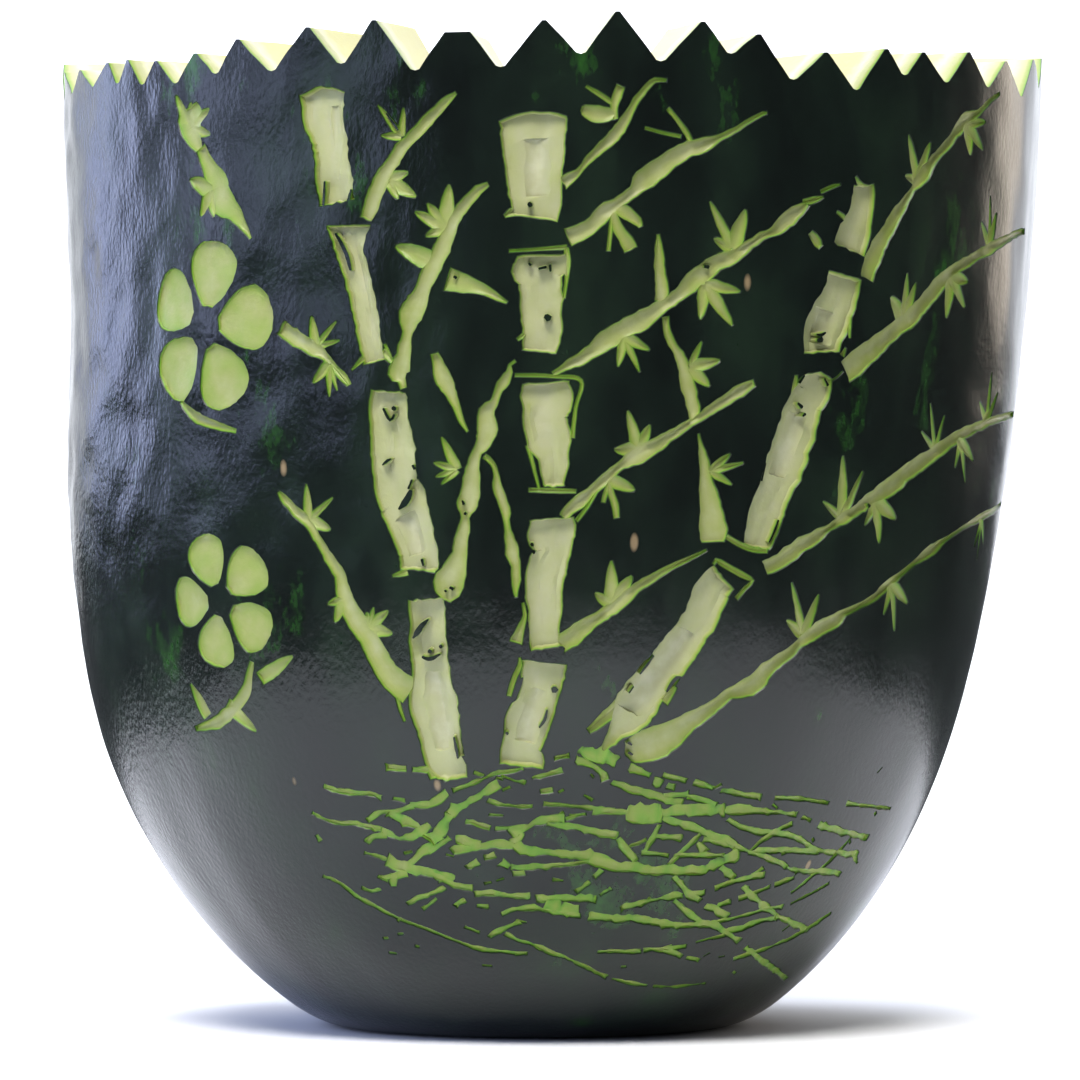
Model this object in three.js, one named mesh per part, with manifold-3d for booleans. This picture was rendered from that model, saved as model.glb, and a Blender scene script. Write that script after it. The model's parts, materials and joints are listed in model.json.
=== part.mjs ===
// Carved winter melon: the lower part of a winter melon with its top cut off in teeth, scooped out
// to leave a thick wall of flesh, and carved on its front with bamboo and blossom.
//
// Millimetres, +Z up. The origin is on the surface the melon stands on, in the middle of the rim.
// The carved front faces -Y, with +X to its right.
//
// The melon is one solid: a turned body, less its hollow, its notches and every gouged stroke.

import * as THREE from 'three';
import { mergeVertices } from 'three/addons/utils/BufferGeometryUtils.js';
import Module from 'manifold-3d';

const wasm = await Module();
wasm.setup();

// ---------------------------------------------------------------- driving dimensions

const rimHeight = 236;      // the usual height of the tooth tips
const rimRadius = 120;      // outside of the wall at the rim
const taper = 0.0337;       // loss of radius for each mm down from the rim
const roundDepth = 252;     // depth at which the rounded bottom would close on the axis
const roundPower = 4.3;     // how late the side turns in: higher is later
const roundRoot = 1.8;      // how full the turn is
const leanReach = 3;        // half of the greatest lean to the left
const leanDepth = 176;      // depth at which the lean is greatest

const ribCount = 10;        // faint lengthwise ribs
const ribHeight = 0.6;
const sideHollow = 1.6;     // a shallow hollow high on the left side
const hollowAt = [-88, 172];
const hollowSpread = [24, 26];

const wall = 26;            // flesh left at the rim
const floorDepth = 31;      // flesh left under the hollow
const scoopPower = 4.0;
const scoopRoot = 2.0;

const culmDepth = 2.3;      // the bamboo stems are pared deepest
const branchDepth = 1.5;
const leafDepth = 1.1;
const clearance = 1.5;      // how far a cutter stands out of the skin
const sideSlope = 0.4;      // gouge walls lean out by this much for each mm of depth
const tipWidth = 0.5;
const stride = 15;          // the longest straight stretch of a branch's cutter

const bodyColumns = 60;
const bodyRows = 14;
const scoopColumns = 36;
const scoopRows = 7;

const degree = Math.PI / 180;

// ---------------------------------------------------------------- the skin

// Distance from the melon's own centre line to its skin, at a height.
function turnedRadius(height) {
  const depth = Math.max(0, rimHeight - height);
  const round = Math.pow(depth / roundDepth, roundPower);
  return (rimRadius - taper * depth) * Math.pow(1 - round, 1 / roundRoot);
}

// The centre line leans a little to the left below the rim.
function lean(height) {
  return leanReach * (Math.cos((Math.PI * (rimHeight - height)) / leanDepth) - 1);
}

// Ribs, and the hollow on the left side, as mm added to the radius.
function lumps(angle, height) {
  const fade = Math.sin(Math.PI * Math.min(1, Math.max(0, height / rimHeight)) * 0.9);
  const ribs = ribHeight * Math.cos(ribCount * angle * degree + 0.7) * fade;
  const across = (angle - hollowAt[0]) / hollowSpread[0];
  const up = (height - hollowAt[1]) / hollowSpread[1];
  return ribs - sideHollow * Math.exp(-across * across - up * up);
}

// How far the skin moves in for each mm of height.
function slope(height) {
  return (turnedRadius(height + 0.5) - turnedRadius(height - 0.5)) / 1;
}

// A point on the melon: angle in degrees round from the front, positive to the right, height above
// the base, and lift, the mm outward from the skin.
function skinPoint(angle, height, lift = 0) {
  const tilt = slope(height);
  const steep = Math.hypot(1, tilt);
  const radius = turnedRadius(height) + lumps(angle, height) + lift / steep;
  const x = lean(height) + radius * Math.sin(angle * degree);
  const y = -radius * Math.cos(angle * degree);
  return new THREE.Vector3(x, y, height - (lift * tilt) / steep);
}

// ---------------------------------------------------------------- solids

// Moves every vertex of a geometry and makes it a solid.
function solidFrom(geometry, place) {
  geometry.deleteAttribute('normal');
  geometry.deleteAttribute('uv');
  const merged = mergeVertices(geometry, 1e-4);
  const position = merged.getAttribute('position');
  const point = new THREE.Vector3();
  for (let i = 0; i < position.count; i += 1) {
    point.fromBufferAttribute(position, i);
    const moved = place(point);
    position.setXYZ(i, moved.x, moved.y, moved.z);
  }
  const vertProperties = new Float32Array(position.array);
  const triVerts = new Uint32Array(merged.getIndex().array);
  return new wasm.Manifold(new wasm.Mesh({ numProp: 3, vertProperties, triVerts }));
}

function geometryFrom(solid) {
  const mesh = solid.getMesh();
  const geometry = new THREE.BufferGeometry();
  geometry.setAttribute('position', new THREE.BufferAttribute(mesh.vertProperties, 3));
  geometry.setIndex(new THREE.BufferAttribute(mesh.triVerts, 1));
  geometry.computeVertexNormals();
  return geometry;
}

// A turned shape: its profile is a run of radius and height, and place moves the turned vertices,
// given as an angle from the front, a radius and a height.
function turned(profile, columns, place) {
  const points = profile.map(([radius, height]) => new THREE.Vector2(radius, height));
  return solidFrom(new THREE.LatheGeometry(points, columns), (point) => {
    const radius = Math.hypot(point.x, point.z);
    const angle = Math.atan2(point.x, point.z) / degree;
    return place(angle, radius, point.y);
  });
}

function melonBody() {
  const top = rimHeight + 4;
  const profile = [[0, 0]];
  for (let row = 0; row <= bodyRows; row += 1) {
    const height = top * Math.pow(row / bodyRows, 1.5);
    profile.push([turnedRadius(height), height]);
  }
  profile.push([0, top]);
  return turned(profile, bodyColumns, (angle, radius, height) => {
    const full = turnedRadius(height);
    const share = radius / full;
    const reach = share * (full + lumps(angle, height));
    const x = lean(height) + reach * Math.sin(angle * degree);
    return new THREE.Vector3(x, -reach * Math.cos(angle * degree), height);
  });
}

// The scooped hollow, open at the top.
function scoop() {
  const depthFull = rimHeight - floorDepth;
  const profile = [];
  for (let row = 0; row <= scoopRows; row += 1) {
    const depth = depthFull * (1 - Math.pow(row / scoopRows, 1.7));
    const round = Math.pow(depth / depthFull, scoopPower);
    const radius = (rimRadius - wall - taper * depth) * Math.pow(1 - round, 1 / scoopRoot);
    profile.push([radius, rimHeight - depth]);
  }
  profile.push([rimRadius - wall, rimHeight + 10]);
  profile.push([0, rimHeight + 10]);
  return turned(profile, scoopColumns, (angle, radius, height) => {
    const x = lean(height) + radius * Math.sin(angle * degree);
    return new THREE.Vector3(x, -radius * Math.cos(angle * degree), height);
  });
}

// ---------------------------------------------------------------- the toothed rim

// Each tooth of the front: the angle and height of its tip, and the height of the notch on its right.
const frontTeeth = [
  [-71, 230, 225], [-62, 230.5, 225], [-57, 230.5, 224], [-51, 229.5, 223.5], [-44, 230.5, 225],
  [-37.5, 233, 225], [-28, 235, 226], [-20, 236, 224], [-10.5, 233, 224.5], [-1, 235.5, 227.5],
  [7, 237.5, 226], [16.5, 235.5, 228], [23, 233, 222.5], [31.5, 229.5, 221], [40, 231, 225],
  [46, 231, 224], [54.5, 232, 224], [63.5, 231, 223], [74, 233, 226.5], [85, 235, 225],
];
const bluntTooth = 8;       // one front tooth has its tip pared flat
const bluntHalf = 1.4;      // degrees
const backTeeth = 22;
const notchHalf = 0.7;      // half of the rounded bottom of a notch, degrees

// The rest of the teeth, round the back, a little uneven too.
function allTeeth() {
  const first = frontTeeth[0][0];
  const last = frontTeeth[frontTeeth.length - 1][0];
  const pitch = (360 + first - last) / (backTeeth + 1);
  const teeth = [...frontTeeth];
  for (let i = 1; i <= backTeeth; i += 1) {
    const angle = last + pitch * (i + 0.16 * Math.sin(2.3 * i));
    teeth.push([angle, 232.5 + 2.2 * Math.sin(1.9 * i), 224.5 + 1.2 * Math.sin(3.1 * i + 1)]);
  }
  return teeth;
}

// The lower edge of the air above the rim: a run of angle and height that goes once round.
function crownLine() {
  const teeth = allTeeth();
  const line = [];
  teeth.forEach(([angle, tip, notch], i) => {
    const next = i + 1 < teeth.length ? teeth[i + 1][0] : teeth[0][0] + 360;
    const middle = (angle + next) / 2;
    if (i === bluntTooth) {
      line.push([angle - bluntHalf, tip], [angle + bluntHalf, tip]);
    } else {
      line.push([angle, tip]);
    }
    line.push([middle - notchHalf, notch], [middle + notchHalf, notch]);
  });
  return line;
}

function crownCutter() {
  const line = crownLine();
  const inner = rimRadius - wall - 20;
  const outer = rimRadius + 12;
  const low = 0;
  const high = 1;
  const ring = [[inner, low], [outer, low], [outer, high], [inner, high], [inner, low]];
  return turned(ring, line.length, (angle, radius, level) => {
    const turn = (angle + 360) % 360;
    const [lineAngle, edge] = line[Math.round((turn / 360) * line.length) % line.length];
    const height = level > 0.5 ? rimHeight + 14 : edge;
    const x = radius * Math.sin(lineAngle * degree);
    return new THREE.Vector3(x, -radius * Math.cos(lineAngle * degree), height);
  });
}

// ---------------------------------------------------------------- strokes

// A stroke is a run of [angle, height, width]. Its cutter is a box bent along the run: its floor
// lies depth under the skin, and its top stands clear of the skin.
function gouge(run, depth) {
  const last = run.length - 1;
  const box = new THREE.BoxGeometry(1, 1, 1, 1, last, 1);
  return solidFrom(box, (point) => {
    const i = Math.round((point.y + 0.5) * last);
    const [angle, height, width] = run[i];
    const before = run[Math.max(0, i - 1)];
    const after = run[Math.min(last, i + 1)];
    const radius = turnedRadius(height);
    const steep = Math.hypot(1, slope(height));
    const right = (after[0] - before[0]) * degree * radius;
    const up = (after[1] - before[1]) * steep;
    const length = Math.hypot(right, up);
    const own = Math.min(depth, 0.3 + 0.35 * width);
    const lift = point.z > 0 ? clearance : -own;
    const half = Math.max(0.15, width / 2 + sideSlope * lift);
    const side = Math.sign(point.x) * half;
    const sideAngle = angle + (side * up) / length / radius / degree;
    const sideHeight = height - (side * right) / length / steep;
    return skinPoint(sideAngle, sideHeight, lift);
  });
}

// A point some mm from another over the skin, in a direction: degrees clockwise from straight up.
function step(angle, height, direction, distance) {
  const right = distance * Math.sin(direction * degree);
  const up = distance * Math.cos(direction * degree);
  const steep = Math.hypot(1, slope(height));
  return [angle + right / turnedRadius(height) / degree, height + up / steep];
}

// A leaf: pointed at its tip, broadest past its middle.
function leaf(angle, height, direction, length, width) {
  const belly = step(angle, height, direction, length * 0.4);
  const tip = step(angle, height, direction, length);
  return gouge([[angle, height, width * 0.6], [...belly, width], [...tip, tipWidth]], leafDepth);
}

// ---------------------------------------------------------------- bamboo stems

// Each internode: the middle of its top and of its foot as angle and height, then its width at the
// top, the waist and the foot.
const leftCulm = [
  [[-26.5, 220], [-24.5, 195], [11, 8.5, 9.5]],
  [[-23.5, 190], [-19.5, 159], [9, 6.5, 6]],
  [[-17.5, 152], [-13.5, 111], [9, 10.5, 9]],
  [[-12.5, 104.5], [-9.5, 64], [8.5, 10.5, 7]],
];
const middleCulm = [
  [[-2, 214], [-1.5, 191], [15, 12.5, 11]],
  [[-0.5, 182.5], [-0.5, 160.5], [12, 10, 8.5]],
  [[1, 154], [2, 130], [12.5, 10.5, 5]],
  [[2, 123], [1.5, 94], [10.5, 9, 7]],
  [[2, 90.5], [-0.5, 67], [9.5, 10.5, 10]],
];
const rightCulm = [
  [[37.5, 199.5], [36, 184.5], [6.5, 8, 10]],
  [[35.5, 179], [33, 161], [10, 11.5, 11.5]],
  [[32.5, 156], [27, 117], [9, 11, 8]],
  [[22.5, 109.5], [11.5, 73], [9, 10, 7]],
];

function internode([top, foot, [wide, waist, base]]) {
  const waistAt = [(top[0] + foot[0]) / 2, (top[1] + foot[1]) / 2];
  return gouge([[...top, wide], [...waistAt, waist], [...foot, base]], culmDepth);
}

// ---------------------------------------------------------------- branches

// Each branch: the run of its middle line as angle and height, its width where it starts and ends.
const branches = [
  [[[14.5, 70], [23, 79.5], [30, 88], [39, 99.5], [54, 113.5], [80, 127]], 7.5, 1],
  [[[-21, 191], [-18, 203], [-14, 212.5], [-10.5, 219.5]], 4, 1],
  [[[-16.5, 155.5], [-15, 170], [-11, 190], [-7, 198.5]], 5, 1.5],
  [[[-31, 166.5], [-26.5, 161], [-22.5, 153.5]], 3.5, 1],
  [[[-12, 160.5], [-10.5, 152.5], [-8, 143]], 3.5, 1],
  [[[-10, 106], [-8, 120], [-7.5, 131], [-6, 144], [-3.5, 158]], 6.5, 1.5],
  [[[-6, 137], [-4.5, 130.5], [-3, 120], [-1.5, 105.5]], 3, 1],
  [[[-14.5, 84], [-19.5, 95], [-23, 108.5], [-27.5, 123.5], [-31, 129]], 7, 1],
  [[[1.5, 199], [6, 208], [11, 221.5]], 3, 1.5],
  [[[2, 186], [8, 195], [12, 202], [16, 207], [23.5, 215]], 5.5, 1],
  [[[1.5, 155.5], [6.5, 163], [13, 170], [18, 178], [27, 190.5], [34, 199.5]], 4.5, 1],
  [[[12, 187], [12.5, 172]], 1, 3],
  [[[14, 167], [18, 145.5]], 2, 3.5],
  [[[3, 123], [8, 132], [17.5, 144.5], [24.5, 153.5]], 4, 1],
  [[[18.5, 142], [20, 130], [21.5, 118]], 1, 6.5],
  [[[4.5, 95], [9.5, 102.5], [20, 115]], 4.5, 1],
  [[[39, 179], [42.5, 192], [46, 200], [49.5, 207], [55.5, 215], [62.5, 223]], 5, 1.2],
  [[[37.5, 157.5], [45.5, 168], [54, 180], [61, 186], [73, 192]], 6, 1],
  [[[29, 112], [36.5, 120.5], [43, 127.5], [50, 134.5], [56.5, 141], [65.5, 145.5], [77, 148]], 4, 1],
];

// A smooth run through a few points, in stretches short enough to follow the round of the skin.
function smoothRun(points) {
  const curve = new THREE.CatmullRomCurve3(points.map((at) => new THREE.Vector3(...at)));
  const first = points[0];
  const last = points[points.length - 1];
  const middle = turnedRadius((first[1] + last[1]) / 2);
  const reach = Math.hypot((last[0] - first[0]) * degree * middle, last[1] - first[1]);
  return curve.getPoints(Math.max(2, Math.ceil(reach / stride))).map((at) => at.toArray());
}

function branch([line, startWidth, endWidth]) {
  const last = line.length - 1;
  const run = line.map((at, i) => [...at, startWidth + ((endWidth - startWidth) * i) / last]);
  return gouge(smoothRun(run), branchDepth);
}

// ---------------------------------------------------------------- leaves

// Each tuft of leaves: the angle and height it grows from, and the direction and length of each
// leaf.
const leafWidth = 3.2;
const tufts = [
  [35.5, 97.5, [[-70, 9], [-35, 13]]],
  [49, 107.5, [[-170, 6], [155, 11], [110, 9]]],
  [-17, 208.5, [[-35, 10], [5, 7]]],
  [-18, 199, [[75, 6], [125, 8]]],
  [-12, 189, [[-55, 6], [15, 9]]],
  [-13.5, 181.5, [[-65, 8]]],
  [-11.5, 177, [[110, 16]]],
  [-26.5, 162, [[-5, 6], [50, 8]]],
  [-25.5, 158, [[-140, 5], [165, 8]]],
  [-9, 133.5, [[-25, 9], [-70, 6], [-120, 5]]],
  [-27.5, 124, [[15, 7], [70, 9], [120, 8]]],
  [-19, 99, [[50, 6], [115, 6]]],
  [6.5, 214, [[-90, 7], [10, 6], [-50, 9]]],
  [7.5, 192.5, [[-170, 9], [155, 9]]],
  [8.5, 162.5, [[175, 7], [140, 9], [95, 8]]],
  [20.5, 185, [[-30, 12], [15, 9]]],
  [18, 175.5, [[-170, 7], [145, 10], [100, 8]]],
  [16.5, 157, [[15, 7], [75, 7]]],
  [11.5, 139.5, [[-20, 8], [25, 6], [-90, 6]]],
  [8.5, 132, [[-170, 7], [160, 10], [120, 8]]],
  [20.5, 133.5, [[45, 6], [80, 8]]],
  [9.5, 104.5, [[-5, 9], [40, 6]]],
  [46, 202, [[-30, 9], [20, 7]]],
  [55.5, 213.5, [[105, 8], [75, 10]]],
  [45, 171, [[-40, 7], [10, 9]]],
  [54, 178, [[180, 7], [125, 9]]],
  [62, 187.5, [[-50, 8], [-10, 11]]],
  [38.5, 124.5, [[-70, 6], [0, 13]]],
  [44, 127, [[160, 9], [115, 8]]],
  [54, 139.5, [[-40, 8], [0, 11]]],
  [59, 142, [[160, 9]]],
  [65.5, 146, [[-20, 9], [25, 10]]],
];

// The small sprig at the top left: two ragged heads on one stem.
const sprigs = [
  [[[-48, 208, 1], [-45.5, 212, 7], [-43.5, 206, 3]], leafDepth],
  [[[-44, 206, 1.5], [-42, 200, 3], [-40.5, 196, 7], [-38.5, 191, 4], [-36, 183, 1]], branchDepth],
];

// ---------------------------------------------------------------- blossom

// Each blossom: the angle and height of its eye, its radius, and its turn in degrees.
const blossoms = [[-42, 167, 20, 10], [-40, 104, 16, -20]];
const petalCount = 5;
const eyeShare = 0.24;      // the uncut eye, as a share of the radius
const petalShare = 0.78;    // a petal's width, as a share of the radius

// Each blossom's stem: a run of angle, height and width.
const stems = [
  [[-46, 150, 1], [-43, 146, 2.6], [-37, 143, 1]],
  [[-36, 90, 1.2], [-38, 82, 3], [-43, 76, 3.2], [-48, 74, 1.2]],
];
const stemLeaves = [[-35, 86, 60, 11], [-45, 77, -30, 9], [-41, 80, 130, 10]];

function petals([angle, height, radius, turn]) {
  const cuts = [];
  for (let i = 0; i < petalCount; i += 1) {
    const direction = turn + (360 / petalCount) * i;
    const shares = [[eyeShare, 0.22], [0.62, petalShare], [0.92, 0.6 * petalShare], [1, 0.2]];
    const run = shares.map(([along, across]) => {
      return [...step(angle, height, direction, along * radius), across * radius];
    });
    cuts.push(gouge(run, leafDepth));
  }
  return cuts;
}

// ---------------------------------------------------------------- the melon

function carvedMelon() {
  const culms = [...leftCulm, ...middleCulm, ...rightCulm];
  const cutters = [
    ...culms.map(internode),
    ...branches.map(branch),
    ...tufts.flatMap(([angle, height, leaves]) => {
      return leaves.map(([direction, length]) => leaf(angle, height, direction, length, leafWidth));
    }),
    ...sprigs.map(([run, depth]) => gouge(run, depth)),
    ...blossoms.flatMap(petals),
    ...stems.map((run) => gouge(run, branchDepth)),
    ...stemLeaves.map(([angle, height, way, long]) => leaf(angle, height, way, long, leafWidth)),
  ];
  let carving = cutters[0];
  cutters.slice(1).forEach((cutter) => {
    carving = carving.add(cutter);
  });
  return melonBody().subtract(scoop()).subtract(crownCutter()).subtract(carving);
}

const rind = new THREE.MeshStandardMaterial({ color: 0x1c2a24, roughness: 0.35, metalness: 0 });
const melon = new THREE.Mesh(geometryFrom(carvedMelon()), rind);
melon.name = 'melon';

const group = new THREE.Group();
group.add(melon);

export default group;
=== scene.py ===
# %% [markdown]
# # A carved winter melon
#
# A winter melon is cut down to a bowl: its top comes off in teeth, its seeds and core are scooped out,
# and a cook carves a picture through the dark waxy rind. The rind is only a fifth of a millimetre
# thick. Under it the flesh is vivid green, and it pales to cream within a few millimetres. So the
# depth of a cut decides its colour: a scratch is green, and a deep gouge is pale.
#
# The whole notebook follows from that. One closed mesh is shaped as the cook shapes the melon, every
# point of it is told how deep under the skin it lies, and the flesh takes its colour from that depth.
#
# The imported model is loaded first, as a frame that nothing here moves.

# %% Load the frame
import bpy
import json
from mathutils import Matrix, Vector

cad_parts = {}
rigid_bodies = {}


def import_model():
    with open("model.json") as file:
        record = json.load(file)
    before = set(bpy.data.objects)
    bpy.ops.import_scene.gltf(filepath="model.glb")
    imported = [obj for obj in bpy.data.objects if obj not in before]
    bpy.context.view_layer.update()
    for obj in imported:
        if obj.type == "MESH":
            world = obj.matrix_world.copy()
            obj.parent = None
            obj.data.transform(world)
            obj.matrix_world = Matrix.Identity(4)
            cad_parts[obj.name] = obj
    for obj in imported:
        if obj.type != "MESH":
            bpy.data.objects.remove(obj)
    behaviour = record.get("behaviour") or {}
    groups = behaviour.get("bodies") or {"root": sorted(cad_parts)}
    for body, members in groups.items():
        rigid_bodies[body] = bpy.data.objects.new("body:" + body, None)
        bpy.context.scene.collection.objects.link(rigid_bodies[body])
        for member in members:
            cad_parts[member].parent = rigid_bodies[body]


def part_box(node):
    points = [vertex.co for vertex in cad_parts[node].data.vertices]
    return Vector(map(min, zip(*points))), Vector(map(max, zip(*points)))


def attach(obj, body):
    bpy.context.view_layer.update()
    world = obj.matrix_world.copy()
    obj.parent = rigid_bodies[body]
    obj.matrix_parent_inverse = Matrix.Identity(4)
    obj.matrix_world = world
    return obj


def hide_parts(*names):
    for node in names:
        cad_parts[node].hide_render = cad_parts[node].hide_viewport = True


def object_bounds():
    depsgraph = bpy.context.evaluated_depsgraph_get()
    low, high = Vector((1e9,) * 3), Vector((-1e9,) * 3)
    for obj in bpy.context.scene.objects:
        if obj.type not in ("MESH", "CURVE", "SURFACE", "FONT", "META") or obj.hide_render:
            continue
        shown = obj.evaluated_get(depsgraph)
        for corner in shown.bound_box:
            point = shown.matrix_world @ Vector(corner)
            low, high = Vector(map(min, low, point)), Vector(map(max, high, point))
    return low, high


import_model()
cad_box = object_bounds()
low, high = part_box("melon")
print("solid melon from", [round(v, 4) for v in low], "to", [round(v, 4) for v in high])

# %% [markdown]
# ## Tools and units
#
# Sizes are written in millimetres and turned into metres as each point is placed. Every random choice
# comes from one seeded source, so the melon is the same on every run.

# %% Tools and units
import json
import math
import random

import bmesh
import bpy
from mathutils import Matrix, Vector, noise

MM = 0.001
rng = random.Random(5)


def wave(x, y=0.0, z=0.0):
    """Smooth noise between about -1 and 1, the same on every run."""
    return noise.noise(Vector((x, y, z)))


# %% [markdown]
# ## The skin as a formula
#
# The solid model turns the melon from a formula: its radius against its height, a slight lean, faint
# ribs and one shallow hollow. The same formula is used here, so every cut lands where the solid model
# has it. A place on the melon is given as a cook would point at it: degrees round from the front, and
# millimetres above the table. A lift is the distance outward from the skin, so a cut has a negative
# lift.

# %% The shape of the melon, in mm
RIM_HEIGHT = 236
RIM_RADIUS = 120
TAPER = 0.0337
ROUND_DEPTH = 252
ROUND_POWER = 4.3
ROUND_ROOT = 1.8
LEAN_REACH = 3
LEAN_DEPTH = 176


def turned_radius(height):
    depth = max(0.0, RIM_HEIGHT - height)
    return (RIM_RADIUS - TAPER * depth) * (1 - (depth / ROUND_DEPTH) ** ROUND_POWER) ** (1 / ROUND_ROOT)


def lean(height):
    return LEAN_REACH * (math.cos(math.pi * (RIM_HEIGHT - height) / LEAN_DEPTH) - 1)


def slope(height):
    return turned_radius(height + 0.5) - turned_radius(height - 0.5)


# %% [markdown]
# A melon is never smooth. Its ribs and the hollow on its left come from the solid model. On top of
# them goes what a hand feels: shallow dents a few centimetres across, and dimples of about a
# centimetre, strongest at the upper left and faint near the foot. They are real relief, because a waxy
# rind mirrors the room and every dent bends the reflection. They only go inward, so the melon stays
# inside the solid model.

# %% Ribs, dents and dimples
RIB_COUNT = 10
RIB_HEIGHT = 0.6
SIDE_HOLLOW = 1.6
HOLLOW_AT = (-88, 172)
HOLLOW_SPREAD = (24, 26)
DENT = 0.55
DIMPLE = 0.5


def lumps(angle, height):
    fade = math.sin(math.pi * min(1, max(0, height / RIM_HEIGHT)) * 0.9)
    ribs = RIB_HEIGHT * math.cos(RIB_COUNT * math.radians(angle) + 0.7) * fade
    turn = (angle - HOLLOW_AT[0] + 180) % 360 - 180
    across = turn / HOLLOW_SPREAD[0]
    up = (height - HOLLOW_AT[1]) / HOLLOW_SPREAD[1]
    hollow = SIDE_HOLLOW * math.exp(-across * across - up * up)
    x = RIM_RADIUS * math.sin(math.radians(angle))
    y = RIM_RADIUS * math.cos(math.radians(angle))
    worn = min(1, max(0.15, (height - 60) / 80))
    rough = worn * min(1, max(0.35, 0.6 - math.sin(math.radians(angle))))
    dents = DENT * (wave(x / 26, y / 26, height / 34) - 0.6)
    dimples = DIMPLE * rough * (wave(x / 9, y / 9, height / 10 + 50) - 0.7)
    dimples += 0.4 * DIMPLE * rough * (wave(x / 4.6, y / 4.6, height / 6 + 90) - 0.7)
    return ribs - hollow + dents + dimples


def skin_point(angle, height, lift=0.0):
    """A point in metres: degrees round from the front, mm above the table, mm out of the skin."""
    tilt = slope(height)
    steep = math.hypot(1, tilt)
    radius = turned_radius(height) + lumps(angle, height) + lift / steep
    turn = math.radians(angle)
    x = lean(height) + radius * math.sin(turn)
    y = -radius * math.cos(turn)
    return Vector((x, y, height - lift * tilt / steep)) * MM


print("radius at the rim, the waist and the foot:", *(round(turned_radius(h), 1) for h in (236, 100, 0)))

# %% [markdown]
# ## Turning the body
#
# A melon is close to a turned shape, so its half outline is drawn once and spun round the upright
# axis. Each point is then moved from the plain turned shape on to the lumpy skin, and the columns are
# drawn together towards the carved front, where they stand 1.7 mm apart: fine enough for the dimples.
# The corner at the foot is rounded, as it is on a melon that has stood on the ground.

# %% The body
COLUMNS = 300
ROWS = 100
FRONT_SHARE = 0.3
FOOT_FLAT = 45.0
FOOT_ROUND = 5.0


def as_place(point):
    """The angle from the front and the height of a turned point."""
    return math.degrees(math.atan2(point.x, -point.y)), point.z


def spin_profile(profile, columns):
    """Spins an outline of (radius, height) round the upright axis and closes its seam and poles."""
    bm = bmesh.new()
    verts = [bm.verts.new((0.0, -radius, height)) for radius, height in profile]
    edges = [bm.edges.new(pair) for pair in zip(verts, verts[1:])]
    bmesh.ops.spin(bm, geom=verts + edges, cent=(0, 0, 0), axis=(0, 0, 1), angle=math.tau,
                   steps=columns, use_merge=True)
    bmesh.ops.remove_doubles(bm, verts=bm.verts, dist=1e-3)
    bmesh.ops.recalc_face_normals(bm, faces=bm.faces)
    return bm


def finish_object(bm, name, closed=True):
    bmesh.ops.recalc_face_normals(bm, faces=bm.faces)
    if closed and bm.calc_volume(signed=True) < 0:
        bmesh.ops.reverse_faces(bm, faces=bm.faces)
    mesh = bpy.data.meshes.new(name)
    bm.to_mesh(mesh)
    bm.free()
    piece = bpy.data.objects.new(name, mesh)
    bpy.context.scene.collection.objects.link(piece)
    return piece


def make_body():
    top = RIM_HEIGHT + 3
    profile = [(0.0, 0.0), (15.0, 0.0), (30.0, 0.0), (FOOT_FLAT, 0.0)]
    corner = Vector((turned_radius(0), 0))
    start = Vector((FOOT_FLAT, 0))
    end = Vector((turned_radius(FOOT_ROUND), FOOT_ROUND))
    for i in range(1, 6):
        t = i / 6
        profile.append(tuple(start * (1 - t) ** 2 + corner * 2 * t * (1 - t) + end * t * t))
    for row in range(ROWS + 1):
        height = FOOT_ROUND + (top - FOOT_ROUND) * (row / ROWS) ** 1.12
        profile.append((turned_radius(height), height))
    profile += [(60.0, top), (0.0, top)]
    bm = spin_profile(profile, COLUMNS)
    for vert in bm.verts:
        angle, height = as_place(vert.co)
        angle -= math.degrees(FRONT_SHARE * math.sin(math.radians(angle)))
        radius = math.hypot(vert.co.x, vert.co.y)
        share = radius / turned_radius(height)
        reach = radius + lumps(angle, height) * min(1, share)
        turn = math.radians(angle)
        x = lean(height) + reach * math.sin(turn)
        vert.co = Vector((x, -reach * math.cos(turn), height)) * MM
    return finish_object(bm, "melon_body")


body = make_body()
print("body:", len(body.data.polygons), "faces")

# %% [markdown]
# ## Scooping the hollow
#
# The inside is scooped with a spoon. It is a second turned shape, and a spoon leaves shallow
# overlapping dishes, so the smooth outline gets soft dents. The wall is left thick at the foot and
# about 26 mm thick at the rim.

# %% The hollow
WALL = 26
FLOOR_DEPTH = 31
SCOOP_POWER = 4.0
SCOOP_COLUMNS = 144
SCOOP_ROWS = 44
SPOON_MARK = 0.7


def scoop_radius(height):
    depth = max(0.0, RIM_HEIGHT - height)
    full = RIM_HEIGHT - FLOOR_DEPTH
    return (RIM_RADIUS - WALL - TAPER * depth) * math.sqrt(max(0.0, 1 - (depth / full) ** SCOOP_POWER))


def make_scoop():
    profile = []
    for row in range(SCOOP_ROWS + 1):
        height = FLOOR_DEPTH + (RIM_HEIGHT - FLOOR_DEPTH) * (row / SCOOP_ROWS) ** 1.7
        profile.append((scoop_radius(height), height))
    profile += [(RIM_RADIUS - WALL, RIM_HEIGHT + 10), (0.0, RIM_HEIGHT + 10)]
    bm = spin_profile(profile, SCOOP_COLUMNS)
    for vert in bm.verts:
        mark = SPOON_MARK * abs(wave(vert.co.x / 22, vert.co.y / 22, vert.co.z / 30))
        mark += 0.25 * wave(vert.co.x / 6, vert.co.y / 6, vert.co.z / 8)
        if vert.co.z > RIM_HEIGHT + 5:
            mark = 0
        side = Vector((vert.co.x, vert.co.y, 0))
        grow = 1 - mark / max(side.length, 8)
        vert.co = Vector((lean(vert.co.z) + side.x * grow, side.y * grow, vert.co.z)) * MM
    return finish_object(bm, "scoop_cutter")


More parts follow.
